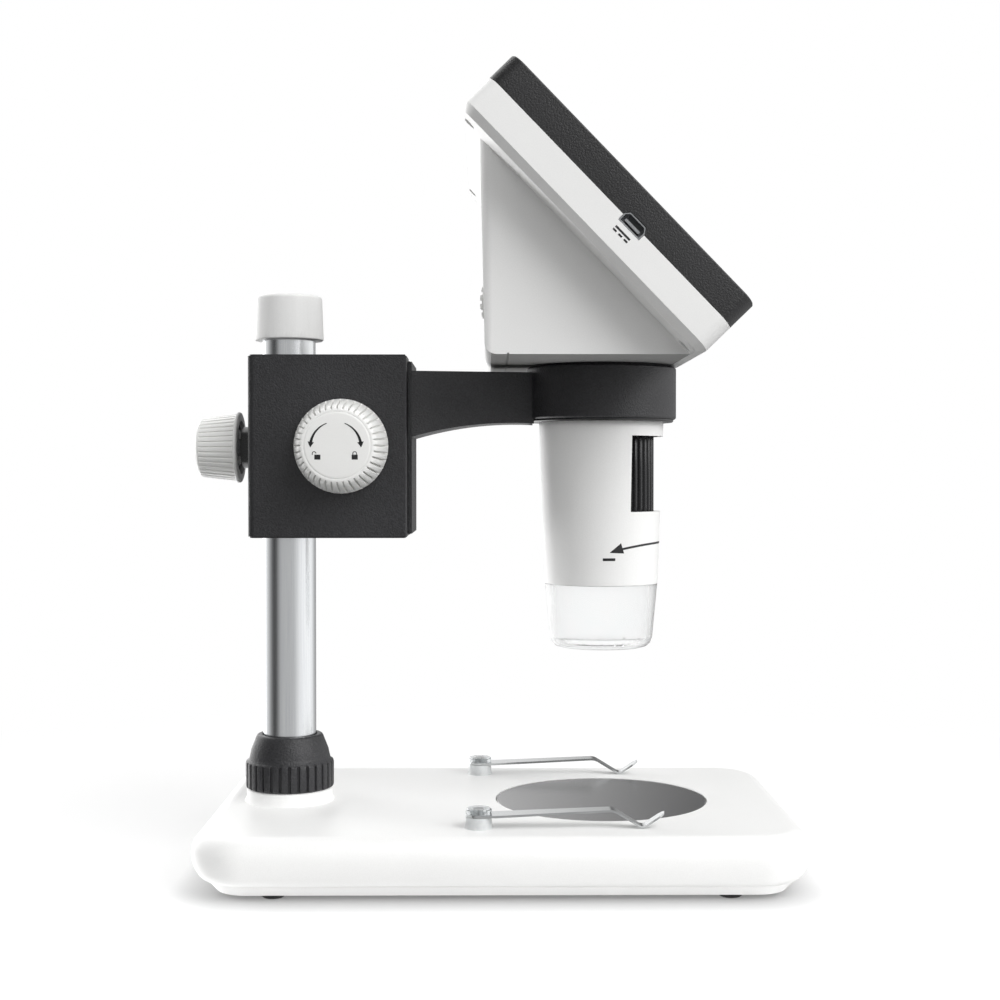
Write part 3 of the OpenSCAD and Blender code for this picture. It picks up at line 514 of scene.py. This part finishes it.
KEYS = ["key_power", "key_menu", "key_up", "key_down", "key_ok", "key_photo"]
KEY_EDGE = 0.2

WEDGE_UNDERSIDE = 141           # the faces of the wedge below this height are its underside, which is painted in shade
SENSOR_BOARD = (127.4, 129.2)   # the sensor board's two faces; what stands out from them is black

skins = {row[0]: skin(*row) for row in SKINS}
for node in KEYS:
    skin(node, KEY, KEY_EDGE)

# the parts on the boards are black, and so are the switches under the keys
second_finish(skins["main_board"], BLACK_SMOOTH, higher_on_display(MAIN_BOARD_PARTS))
second_finish(skins["key_board"], BLACK_SMOOTH, higher_on_display(KEY_SWITCHES))
second_finish(skins["sensor_board"], BLACK_SMOOTH, lambda p: not SENSOR_BOARD[0] <= p.z <= SENSOR_BOARD[1])
# the wedge's underside takes the greyer white: painted shade where it lies in shadow
second_finish(skins["wedge_housing"], UNDERSIDE_PAINTED_SHADE, lambda p: p.z < WEDGE_UNDERSIDE)


# ---- Geometry Nodes: ribs and screws ----

def new_tree(name, sockets):
    """An empty Geometry Nodes tree with named inputs, and the outputs of its Group Input."""
    tree = bpy.data.node_groups.new(name, "GeometryNodeTree")
    for label, kind in sockets.items():
        tree.interface.new_socket(label, in_out="INPUT", socket_type="NodeSocket" + kind)
    tree.interface.new_socket("Geometry", in_out="OUTPUT", socket_type="NodeSocketGeometry")
    return tree, put(tree, "NodeGroupInput").outputs


def end_tree(tree, geometry, finish):
    """Makes the copies real, gives them their finish and hands them out."""
    real = put(tree, "GeometryNodeRealizeInstances", {"Geometry": geometry}).outputs["Geometry"]
    done = put(tree, "GeometryNodeSetMaterial", {"Geometry": real, "Material": finish}).outputs["Geometry"]
    put(tree, "NodeGroupOutput", {"Geometry": done})
    return tree


def ring_tree():
    """Copies one rib of a turned piece all the way round its axis."""
    tree, given = new_tree("copies_in_a_ring", {"Rib": "Geometry", "Count": "Int", "Middle": "Vector",
                                                "Axis": "Vector", "Finish": "Material"})
    whole = put(tree, "GeometryNodeGeometryToInstance", {"Geometry": given["Rib"]}).outputs["Instances"]
    copies = put(tree, "GeometryNodeDuplicateElements", {"Geometry": whole, "Amount": given["Count"]},
                 domain="INSTANCE").outputs
    step = put(tree, "ShaderNodeMath", {0: math.tau, 1: given["Count"]}, operation="DIVIDE").outputs[0]
    index = copies["Duplicate Index"]
    angle = put(tree, "ShaderNodeMath", {0: index, 1: step}, operation="MULTIPLY").outputs[0]
    turn = put(tree, "FunctionNodeAxisAngleToRotation", {"Axis": given["Axis"], "Angle": angle}).outputs[0]
    turned = put(tree, "GeometryNodeRotateInstances", {"Instances": copies["Geometry"], "Rotation": turn,
                                                       "Pivot Point": given["Middle"], "Local Space": False})
    return end_tree(tree, turned.outputs["Instances"], given["Finish"])


def screw_tree():
    """A cross-head screw on every point, its head towards Axis, each turned as it happened to stop."""
    rim_share = 0.86            # the head narrows to this share of its radius
    cross_share = 1.35          # the cross is this many head radii long
    overlap = 0.2 * MM          # the shank reaches this far into the head
    tree, given = new_tree("cross_head_screws", {
        "Seats": "Geometry", "Axis": "Vector", "Head Radius": "Float", "Head Height": "Float",
        "Shank Radius": "Float", "Shank Length": "Float", "Cross Width": "Float", "Finish": "Material"})
    radius = given["Head Radius"]
    rim = put(tree, "ShaderNodeMath", {0: radius, 1: rim_share}, operation="MULTIPLY").outputs[0]
    head = put(tree, "GeometryNodeMeshCone", {
        "Vertices": 40, "Radius Top": rim, "Radius Bottom": radius,
        "Depth": given["Head Height"]}).outputs["Mesh"]
    length = put(tree, "ShaderNodeMath", {0: given["Shank Length"], 1: overlap}).outputs[0]
    sunk = put(tree, "ShaderNodeMath", {0: length, 1: -0.5, 2: overlap}, operation="MULTIPLY_ADD").outputs[0]
    low = put(tree, "ShaderNodeCombineXYZ", {"Z": sunk}).outputs[0]
    shank = put(tree, "GeometryNodeMeshCylinder", {"Vertices": 20, "Radius": given["Shank Radius"],
                                                   "Depth": length}).outputs["Mesh"]
    shank = put(tree, "GeometryNodeTransform", {"Geometry": shank, "Translation": low}).outputs["Geometry"]
    body = put(tree, "GeometryNodeMeshBoolean", {"Mesh 2": head}, operation="UNION")
    tree.links.new(shank, body.inputs["Mesh 2"])
    # the cross is cut half as deep as the head is high
    across = put(tree, "ShaderNodeMath", {0: radius, 1: cross_share}, operation="MULTIPLY").outputs[0]
    size = put(tree, "ShaderNodeCombineXYZ", {"X": across, "Y": given["Cross Width"],
                                              "Z": given["Head Height"]}).outputs[0]
    top = put(tree, "ShaderNodeCombineXYZ", {"Z": given["Head Height"]}).outputs[0]
    slot = put(tree, "GeometryNodeMeshCube", {"Size": size}).outputs["Mesh"]
    cut = put(tree, "GeometryNodeMeshBoolean", {"Mesh 1": body.outputs["Mesh"]}, operation="DIFFERENCE")
    for turn in (0, math.pi / 2):
        arm = put(tree, "GeometryNodeTransform", {"Geometry": slot, "Translation": top,
                                                  "Rotation": (0, 0, turn)})
        tree.links.new(arm.outputs["Geometry"], cut.inputs["Mesh 2"])
    facing = put(tree, "FunctionNodeAlignRotationToVector", {"Vector": given["Axis"]}, axis="Z").outputs[0]
    stop = put(tree, "FunctionNodeRandomValue", {2: 0.0, 3: math.tau, "Seed": 4},
               data_type="FLOAT").outputs[1]
    spin = put(tree, "FunctionNodeAxisAngleToRotation", {"Axis": (0, 0, 1), "Angle": stop}).outputs[0]
    turned = put(tree, "FunctionNodeRotateRotation", {"Rotation": facing, "Rotate By": spin},
                 rotation_space="LOCAL").outputs[0]
    set_in = put(tree, "GeometryNodeInstanceOnPoints", {"Points": given["Seats"], "Rotation": turned,
                                                        "Instance": cut.outputs["Mesh"]})
    return end_tree(tree, set_in.outputs["Instances"], given["Finish"])


def run_tree(piece, tree, **values):
    """Runs a tree on a piece with those inputs and keeps the result as its mesh."""
    step = piece.modifiers.new(tree.name, "NODES")
    step.node_group = tree
    for item in tree.interface.items_tree:
        label = item.name.replace(" ", "_")
        if item.in_out == "INPUT" and label in values:
            step[item.identifier] = values[label]
    return settle(piece)


RING = ring_tree()
SCREWS = screw_tree()


def rib_columns(groove):
    """Points across one rib, each a share of its width and of its groove's depth. groove is the share of
    the width that the groove takes."""
    half = [(0, 1), (0.32, 0.97), (0.42, 0.75), (0.48, 0.25), (0.58, 0.04), (0.8, 0)]
    half = [(share * groove, dip) for share, dip in half] + [(0.5, 0)]
    return half + [(1 - share, dip) for share, dip in reversed(half[:-1])]


def ribbed(node, at, finish, count, groove, outline):
    """A turned piece with count grooves in place of a CAD node, each as wide as that share of a rib. The
    outline's points are radius, height and, where grooves run, their depth in mm; at's z is the axis."""
    crease = 50
    form = bmesh.new()
    columns = []
    for share, dip in rib_columns(groove):
        angle = math.tau * share / count
        column = []
        for radius, height, depth in [(*point, 0)[:3] for point in outline]:
            reach = radius - dip * depth
            spot = Vector((reach * math.cos(angle), reach * math.sin(angle), height)) * MM
            column.append(form.verts.new(at @ spot))
        columns.append(column)
    for left, right in zip(columns, columns[1:]):
        for i in range(len(outline) - 1):
            form.faces.new((left[i], right[i], right[i + 1], left[i + 1]))
    piece = link(node + "_ribbed", mesh_of(form, node), finish)
    run_tree(piece, RING, Count=count, Middle=at.translation, Axis=at.col[2].xyz, Finish=finish)
    return stand_for(close_up(piece, crease), node)


def screws(node, seats, axis, head_r, head_h, shank_r, shank_len, cross):
    """Cross-head screws in place of a CAD node, seated at those points in metres. Other sizes are in mm."""
    crease = 30
    form = bmesh.new()
    for seat in seats:
        form.verts.new(seat)
    piece = link(node + "_cross_head", mesh_of(form, node), STEEL)
    run_tree(piece, SCREWS, Axis=axis, Head_Radius=head_r * MM, Head_Height=head_h * MM,
             Shank_Radius=shank_r * MM, Shank_Length=shank_len * MM, Cross_Width=cross * MM, Finish=STEEL)
    return stand_for(close_up(piece, crease), node)


UP, DOWN, NEAR, FAR, REAR = (0, 0, 1), (0, 0, -1), (0, -1, 0), (0, 1, 0), (-1, 0, 0)
LOCK_FACE = frame_at((KNOB_X, -KNOB_SIDE, KNOB_Z), NEAR, UP)
FOCUS_FACE = frame_at((KNOB_X, KNOB_SIDE, KNOB_Z), FAR, UP)
CLAMP_FACE = frame_at((CLAMP_X, 0, KNOB_Z), REAR, UP)
NUT_FOOT = frame_at((POLE_X, 0, NUT_Z), UP, FAR)
WHEEL_FOOT = frame_at((TUBE_X, 0, WHEEL_Z), UP, FAR)
DIMMER_FACE = frame_at(DIMMER_PLACE, NEAR, UP)

# the cone of the side knobs, from its wide rim to the groove round its face, and the face itself
GRIP = [(12.2, 0), (12.75, 0.15), (12.9, 0.5), (12.85, 0.9, 1.3), (10.75, 10.6, 1.2), (10.5, 10.95, 0.9),
        (10.2, 11.3, 0.4), (9.7, 11.6), (9.1, 11.76), (8.95, 11.7), (8.8, 11.8), (8.35, 11.86),
        (4, 11.86), (0, 11.9)]
ribbed("lock_knob", LOCK_FACE, WHITE_KNOB, count=40, groove=0.28,
       outline=[(0, -9.7), (6, -9.7), (6, 0)] + GRIP)
ribbed("focus_knob", FOCUS_FACE, WHITE_KNOB, count=40, groove=0.28,
       outline=[(0, 7.5), (2.5, 7.5), (2.5, 0)] + GRIP)
ribbed("clamp_knob", CLAMP_FACE, WHITE_KNOB, count=38, groove=0.3,
       outline=[(0, 8), (2.5, 8), (2.5, 2.5), (7.6, 2.5), (7.6, 0), (9.5, 0), (9.9, 0.15), (10.05, 0.45),
                (10.05, 0.85), (9.75, 1.1), (9.6, 1.2, 0.5), (8.5, 10.5, 0.5), (8.3, 10.95), (8.1, 11.3),
                (7.6, 11.75), (7, 11.95), (5, 12.27), (2.5, 12.52), (0, 12.6)])
ribbed("pole_lock_nut", NUT_FOOT, BLACK, count=30, groove=0.3,
       outline=[(9.8, 0), (11.9, 0), (12.35, 0.25), (12.5, 0.7, 0.75), (12.5, 6.9, 0.75), (12.35, 7.5),
                (11.6, 7.9), (11.3, 9.2), (10.95, 10.8), (10.15, 12.8), (9.5, 14.5), (9.2, 14.95),
                (8.9, 15.1), (7.8, 15.1), (7.8, 11.8), (8.9, 11.2), (9.8, 9.0), (9.8, 0)])
ribbed("focus_wheel", WHEEL_FOOT, BLACK_SMOOTH, count=44, groove=0.6,
       outline=[(11.05, 0), (14.2, 0), (14.2, 1), (14.6, 1.1), (14.95, 1.5, 1.0), (14.95, 22.7, 1.0),
                (14.6, 23.1), (14.2, 23.2), (14.2, 24.2), (11.05, 24.2), (11.05, 0)])
ribbed("dimmer_wheel", DIMMER_FACE, WHITE_KNOB, count=34, groove=0.4,
       outline=[(2.05, 0), (12.5, 0), (13, 0.35, 0.6), (13, 2.65, 0.6), (12.5, 3), (2.05, 3), (2.05, 0)])

BASE_SCREWS = [(BASE_X + side_x * 62.5, side_y * 33, 2.7) for side_x in (-1, 1) for side_y in (-1, 1)]
HOUSING_SCREWS = [(row, side * HOUSING_SCREW_SIDE, HOUSING_SCREW_SEAT) for row in HOUSING_SCREW_ROWS
                  for side in (-1, 1)]
SLIDE_SCREWS = [(-28, 0, height) for height in (124.5, 134)]

screws("base_screws", [Vector(seat) * MM for seat in BASE_SCREWS], DOWN,
       head_r=2.8, head_h=1.3, shank_r=1.25, shank_len=8.8, cross=0.6)
screws("housing_screws", [ON_DISPLAY @ (Vector(seat) * MM) for seat in HOUSING_SCREWS],
       -ON_DISPLAY.col[2].xyz, head_r=1.85, head_h=1.7, shank_r=1.2, shank_len=8.7, cross=0.5)
screws("slide_screws", [Vector(seat) * MM for seat in SLIDE_SCREWS], REAR,
       head_r=2.7, head_h=2.8, shank_r=1.5, shank_len=11.2, cross=0.8)


# ---- printed marks ----

PRINT = 0.03                    # how far the ink stands proud of its surface


def stroke(form, spot, path, widths, closed=False):
    """Adds a printed line to form: a thin closed band along the path, as wide as widths gives at each point.
    spot(across, up, out) turns the mark's own millimetres into a place on the surface."""
    rows = []
    for i, (u, v) in enumerate(path):
        after = path[(i + 1) % len(path)] if closed else path[min(i + 1, len(path) - 1)]
        before = path[i - 1] if closed or i else path[0]
        along = (Vector(after) - Vector(before)).normalized() * widths[i] / 2
        left, right = (u - along.y, v + along.x), (u + along.y, v - along.x)
        rows.append([form.verts.new(spot(*corner, out)) for corner, out in
                     ((left, -PRINT), (right, -PRINT), (right, PRINT), (left, PRINT))])
    pairs = list(zip(rows, rows[1:])) + ([(rows[-1], rows[0])] if closed else [])
    for first, second in pairs:
        for k in range(4):
            form.faces.new((first[k], first[(k + 1) % 4], second[(k + 1) % 4], second[k]))
    if not closed:
        form.faces.new(rows[0])
        form.faces.new(rows[-1])


def bow(u, v, radius, start, end, steps=20):
    """Points on an arc round (u, v), angles in degrees from the right, anticlockwise."""
    angles = [math.radians(start + (end - start) * k / steps) for k in range(steps + 1)]
    return [(u + radius * math.cos(a), v + radius * math.sin(a)) for a in angles]


def line(start, end, steps=8):
    """Points on a straight line, close enough to follow a curved surface."""
    return [tuple(Vector(start).lerp(Vector(end), k / steps)) for k in range(steps + 1)]


def even(path, width):
    """The same width at every point of a path."""
    return [width] * len(path)


def print_marks(name, node, ink, spot, lines):
    """One piece of ink that rides with a node. lines holds (path, widths, closed)."""
    form = bmesh.new()
    for path, widths, closed in lines:
        stroke(form, spot, path, widths, closed)
    bmesh.ops.recalc_face_normals(form, faces=form.faces)
    piece = link(name, mesh_of(form, name), ink)
    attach(piece, BODY_OF[node])


def padlock(u, v, swing):
    """A small padlock: its shackle closed, or swung aside."""
    radius, foot = 0.5, v + 0.35
    shackle = [(u - radius + swing, foot)] + bow(u + swing, v + 0.75, radius, 180, 0, 10)
    if not swing:
        shackle.append((u + radius, foot))
    body = [(u, v - 0.85), (u, v + 0.45)]
    return [(body, even(body, 1.6), False), (shackle, even(shackle, 0.2), False)]


KNOB_PRINT_Z = 11.87            # height of the lock knob's face where its marks are


def on_lock_knob(u, v, out):
    """A place on the lock knob's face, from its axis: across to the right, up."""
    return LOCK_FACE @ (Vector((u, v, KNOB_PRINT_Z + out)) * MM)


def knob_marks():
    """Two arrows that part at the top of the face: towards open on the left, towards locked on the right."""
    middle_u, middle_v, radius = -0.35, -0.4, 6.71
    steps = 24
    open_u, closed_u, lock_v, swing = -5.2, 4.7, -2.9, -0.85
    lines = padlock(open_u, lock_v, swing) + padlock(closed_u, lock_v, 0)
    bend_widths = [0.2 + 0.55 * k / steps for k in range(steps + 1)]
    tip_widths = [1.7, 1.28, 0.86, 0.44, 0.04]
    for side in (-1, 1):
        for start, end, widths in ((110.8, 170, bend_widths), (168.5, 181, tip_widths)):
            left = bow(middle_u, middle_v, radius, start, end, len(widths) - 1)
            lines.append(([(middle_u - side * (u - middle_u), v) for u, v in left], widths, False))
    return lines


print_marks("lock_knob_print", "lock_knob", INK, on_lock_knob, knob_marks())


def on_near_side(u, v, out):
    """A place on the display's near side: u from the sign's middle down the slope, v out of the screen."""
    return ON_DISPLAY @ (Vector((SIGN_X + u, -DISPLAY_HALF_W - out, v)) * MM)


def direct_current_marks():
    """A solid bar over three dashes."""
    bar_v, dash_v = -11.6, -12.5
    dashes = [([(u - 0.6, dash_v), (u + 0.6, dash_v)], [0.5, 0.5], False) for u in (-1.9, 0, 1.9)]
    return [([(-2.5, bar_v), (2.5, bar_v)], [0.55, 0.55], False)] + dashes


print_marks("direct_current_sign", "display_back", INK, on_near_side, direct_current_marks())

TUBE_LOW_R = 16.1               # the tube's radius at its low end
TUBE_WIDENS = 1.6 / 45.6        # and what it gains with each millimetre of height
TUBE_PRINT_R = 16.5             # the radius at which the print's lengths are measured


def on_tube(u, v, out):
    """A place on the tube: u along it from its near side towards the user, v its height."""
    radius = TUBE_LOW_R + TUBE_WIDENS * (v - TUBE_Z) + out
    angle = u / TUBE_PRINT_R
    return Vector((TUBE_X + radius * math.sin(angle), -radius * math.cos(angle), v)) * MM


def tube_marks():
    """A long arrow round the tube under its window, from plus on the far side to minus on the near."""
    steps = 40
    tail_start, tail_turn, plus_turn = 12, 163.7, 176       # degrees round from the near side
    tail_low, tail_rise = 88.05, 2.55
    sign_v, sign_half = 86.3, 1.75
    minus_u = 1.05
    plus_u = TUBE_PRINT_R * math.radians(plus_turn)
    turns = [math.radians(tail_start + tail_turn * k / steps) for k in range(steps + 1)]
    # the tail is highest on the user's side and falls towards both its ends
    tail = [(TUBE_PRINT_R * turn, tail_low + tail_rise * (1 - (1 - math.sin(turn)) ** 1.7)) for turn in turns]
    head = line((4.9, 89.4), (1.24, 88.2))
    head_widths = [3.0 - 0.37 * k for k in range(len(head))]
    bars = [line((u - sign_half, sign_v), (u + sign_half, sign_v)) for u in (minus_u, plus_u)]
    bars.append(line((plus_u, sign_v - sign_half), (plus_u, sign_v + sign_half)))
    return ([(tail, even(tail, 0.6), False), (head, head_widths, False)]
            + [(path, even(path, 0.75), False) for path in bars])


print_marks("focus_direction_print", "tube_shell", INK, on_tube, tube_marks())


def key_signs():
    """White signs on the keys: on and off, menu, up, down, tick and picture."""
    ring = bow(0, -0.1, 1.15, 125, 415, 24)
    frame_of_picture = [(-1.5, -1), (1.5, -1), (1.5, 0.9), (-1.5, 0.9)]
    lens = bow(0, -0.05, 0.55, 0, 345, 23)
    tick = [(-1.2, 0.1), (-0.35, -0.85), (1.3, 1.0)]
    return {
        "key_power": [(ring, even(ring, 0.28), False), ([(0, 0.1), (0, 1.4)], [0.28, 0.28], False)],
        "key_menu": [([(-1.3, v), (1.3, v)], [0.3, 0.3], False) for v in (-0.9, 0, 0.9)],
        "key_up": [([(0, -0.8), (0, 1.0)], [2.4, 0.04], False)],
        "key_down": [([(0, 0.8), (0, -1.0)], [2.4, 0.04], False)],
        "key_ok": [(tick, [0.32, 0.4, 0.32], False)],
        "key_photo": [(frame_of_picture, even(frame_of_picture, 0.28), True), (lens, even(lens, 0.26), True),
                      ([(-0.5, 1.15), (0.5, 1.15)], [0.3, 0.3], False)],
    }


def on_key(column):
    """Places on a key's top, from its middle: across to the user's right, up the slope."""
    middle = (column - (len(KEYS) - 1) / 2) * KEY_PITCH
    return lambda u, v, out: ON_DISPLAY @ (Vector((KEY_ROW - v, middle + u, KEY_TOP + out)) * MM)


signs = key_signs()
for column, node in enumerate(KEYS):
    print_marks(node + "_sign", node, WHITE_INK, on_key(column), signs[node])


# ---- floor and light ----

# brightness of the studio as polished pieces see it, by degrees round from the near side towards the user
STUDIO = [(-180, 0.95), (-172, 1.0), (-160, 2.6), (-130, 2.6), (-117, 1.0), (-101, 0.7), (-87, 0.38),
          (-74, 0.14), (-62, 0.06), (-52, 0.11), (-43, 0.28), (-34, 0.44), (-23, 0.49), (12, 0.5), (26, 0.55),
          (35, 0.66), (44, 0.8), (54, 0.93), (70, 1.05), (108, 1.1), (124, 0.9), (144, 0.46), (165, 0.4),
          (172, 0.12), (177, 0.6), (180, 0.95)]
# brightness of the soft light by height: 0 straight below, 0.5 level, 1 overhead
SKY = [(0.0, 0.08), (0.44, 0.12), (0.5, 0.84), (0.68, 0.86), (1.0, 0.5)]

# the studio's own sizes are in metres
FLOOR_RADIUS = 0.6
FLOOR_FADE = (0.12, 0.3)        # between these distances from the middle the floor turns into plain white
FLOOR_LIFT = 0.5                # how far it has turned already at the inner one
BOUNCE_NEAR, BOUNCE_FAR = 0.95, 0.06    # share of the light thrown back, close to the base and away from it
BOUNCE_REACH = (12 * MM, 50 * MM)       # distances from the base's edge between which that changes
CONTACT_REACH = 10 * MM         # the contact shadow's width
CONTACT_DARK = 0.4              # and the brightness of its darkest part
LAMP_AIM = (0, 0, 0.1)
# name, direction, distance, width, watts, and whether polished pieces mirror it
LAMPS = [
    ("key", (0.56, -0.54, 0.63), 1.1, 0.9, 9.7, True),
    ("side", (0.93, -0.3, 0.15), 0.8, 0.6, 1.5, False),
    ("rim", (-0.86, 0.5, 0.02), 0.9, 0.4, 6.4, False),
]


def seen_directly(tree, *extra):
    """1 for the rays that show the backdrop itself: the camera's, and those named in extra."""
    path = put(tree, "ShaderNodeLightPath").outputs
    seen = path["Is Camera Ray"]
    for ray in extra:
        seen = put(tree, "ShaderNodeMath", {0: seen, 1: path[ray]}, operation="MAXIMUM").outputs[0]
    return seen


def add_floor():
    """A round white floor that keeps the object's shadow and fades into the white background."""
    form = bmesh.new()
    bmesh.ops.create_circle(form, cap_ends=True, segments=128, radius=FLOOR_RADIUS)
    material = bpy.data.materials.new("studio_floor")
    material.use_nodes = True
    tree = material.node_tree
    tree.nodes.clear()
    place = put(tree, "ShaderNodeTexCoord").outputs["Object"]
    far = put(tree, "ShaderNodeVectorMath", {0: place}, operation="LENGTH").outputs["Value"]
    fade = put(tree, "ShaderNodeMapRange", {"Value": far, "From Min": FLOOR_FADE[0],
                                            "From Max": FLOOR_FADE[1], "To Min": FLOOR_LIFT},
               interpolation_type="SMOOTHSTEP").outputs["Result"]
    seen = seen_directly(tree, "Is Glossy Ray", "Is Transmission Ray")
    lift = put(tree, "ShaderNodeMath", {0: seen, 1: fade}, operation="MULTIPLY").outputs[0]
    # what it throws back on the object: bright close to the base's edge, dark further out
    parts = put(tree, "ShaderNodeSeparateXYZ", {"Vector": place}).outputs
    from_edge = []
    for axis, middle, half in (("X", BASE_X, BASE_HALF_L), ("Y", 0, BASE_HALF_W)):
        off = put(tree, "ShaderNodeMath", {0: parts[axis], 1: middle * MM}, operation="SUBTRACT").outputs[0]
        off = put(tree, "ShaderNodeMath", {0: off}, operation="ABSOLUTE").outputs[0]
        from_edge.append(put(tree, "ShaderNodeMath", {0: off, 1: half * MM}, operation="SUBTRACT").outputs[0])
    off = put(tree, "ShaderNodeMath", {0: from_edge[0], 1: from_edge[1]}, operation="MAXIMUM").outputs[0]
    bounce = put(tree, "ShaderNodeMapRange", {
        "Value": off, "From Min": BOUNCE_REACH[0], "From Max": BOUNCE_REACH[1],
        "To Min": BOUNCE_NEAR, "To Max": BOUNCE_FAR}).outputs["Result"]
    # where it is seen, a painted contact shadow taken from ambient occlusion darkens it close to whatever
    # stands on it
    free = put(tree, "ShaderNodeAmbientOcclusion", {"Distance": CONTACT_REACH}, samples=16).outputs["AO"]
    open_sky = put(tree, "ShaderNodeMapRange", {"Value": free, "To Min": CONTACT_DARK}).outputs["Result"]
    level = put(tree, "ShaderNodeMix", {"Factor": seen, "A": bounce, "B": open_sky}).outputs["Result"]
    matt = put(tree, "ShaderNodeBsdfDiffuse", {"Color": level}).outputs[0]
    white = put(tree, "ShaderNodeEmission", {"Color": (1, 1, 1, 1), "Strength": open_sky}).outputs[0]
    mixed = put(tree, "ShaderNodeMixShader", {0: lift, 1: matt, 2: white}).outputs[0]
    put(tree, "ShaderNodeOutputMaterial", {"Surface": mixed})
    floor = link("floor", mesh_of(form, "floor"), material)
    floor.visible_glossy = False


def add_world():
    """White behind the object, soft light from above, and a studio of pale and dark cards in reflections."""
    world = bpy.data.worlds.new("studio")
    bpy.context.scene.world = world
    world.use_nodes = True
    tree = world.node_tree
    tree.nodes.clear()
    way = put(tree, "ShaderNodeTexCoord").outputs["Generated"]
    parts = put(tree, "ShaderNodeSeparateXYZ", {"Vector": way}).outputs
    back = put(tree, "ShaderNodeMath", {0: parts["Y"], 1: -1.0}, operation="MULTIPLY").outputs[0]
    round_it = put(tree, "ShaderNodeMath", {0: parts["X"], 1: back}, operation="ARCTAN2").outputs[0]
    share = put(tree, "ShaderNodeMapRange", {"Value": round_it, "From Min": -math.pi,
                                             "From Max": math.pi}).outputs["Result"]
    height = put(tree, "ShaderNodeMapRange", {"Value": parts["Z"], "From Min": -1.0}).outputs["Result"]
    round_stops = [((degrees + 180) / 360, level) for degrees, level in STUDIO]
    levels = []
    for value, stops in ((share, round_stops), (height, SKY)):
        ramp = put(tree, "ShaderNodeValToRGB", {"Fac": value})
        elements = ramp.color_ramp.elements
        while len(elements) < len(stops):
            elements.new(1.0)
        for element, (position, level) in zip(elements, stops):
            element.position = position
            element.color = (level, level, level, 1)
        levels.append(ramp.outputs["Color"])
    glossy = put(tree, "ShaderNodeLightPath").outputs["Is Glossy Ray"]
    room = put(tree, "ShaderNodeMix", {"Factor": glossy, "A": levels[1], "B": levels[0]}).outputs["Result"]
    seen = seen_directly(tree, "Is Transmission Ray")
    level = put(tree, "ShaderNodeMix", {"Factor": seen, "A": room, "B": 1.0}).outputs["Result"]
    light = put(tree, "ShaderNodeBackground", {"Color": (1, 1, 1, 1), "Strength": level}).outputs[0]
    put(tree, "ShaderNodeOutputWorld", {"Surface": light})


def add_softbox(name, towards, distance, size, power, mirrored):
    """A square lamp at that distance from the middle of the object, which faces it."""
    middle = Vector(LAMP_AIM)
    data = bpy.data.lights.new(name, "AREA")
    data.size = size
    data.energy = power
    lamp = bpy.data.objects.new(name, data)
    lamp.location = middle + Vector(towards).normalized() * distance
    lamp.rotation_euler = (middle - lamp.location).to_track_quat("-Z", "Y").to_euler()
    lamp.visible_transmission = False
    lamp.visible_glossy = mirrored
    bpy.context.collection.objects.link(lamp)


add_floor()
add_world()
for lamp in LAMPS:
    add_softbox(*lamp)

bpy.context.scene.view_settings.view_transform = "Standard"
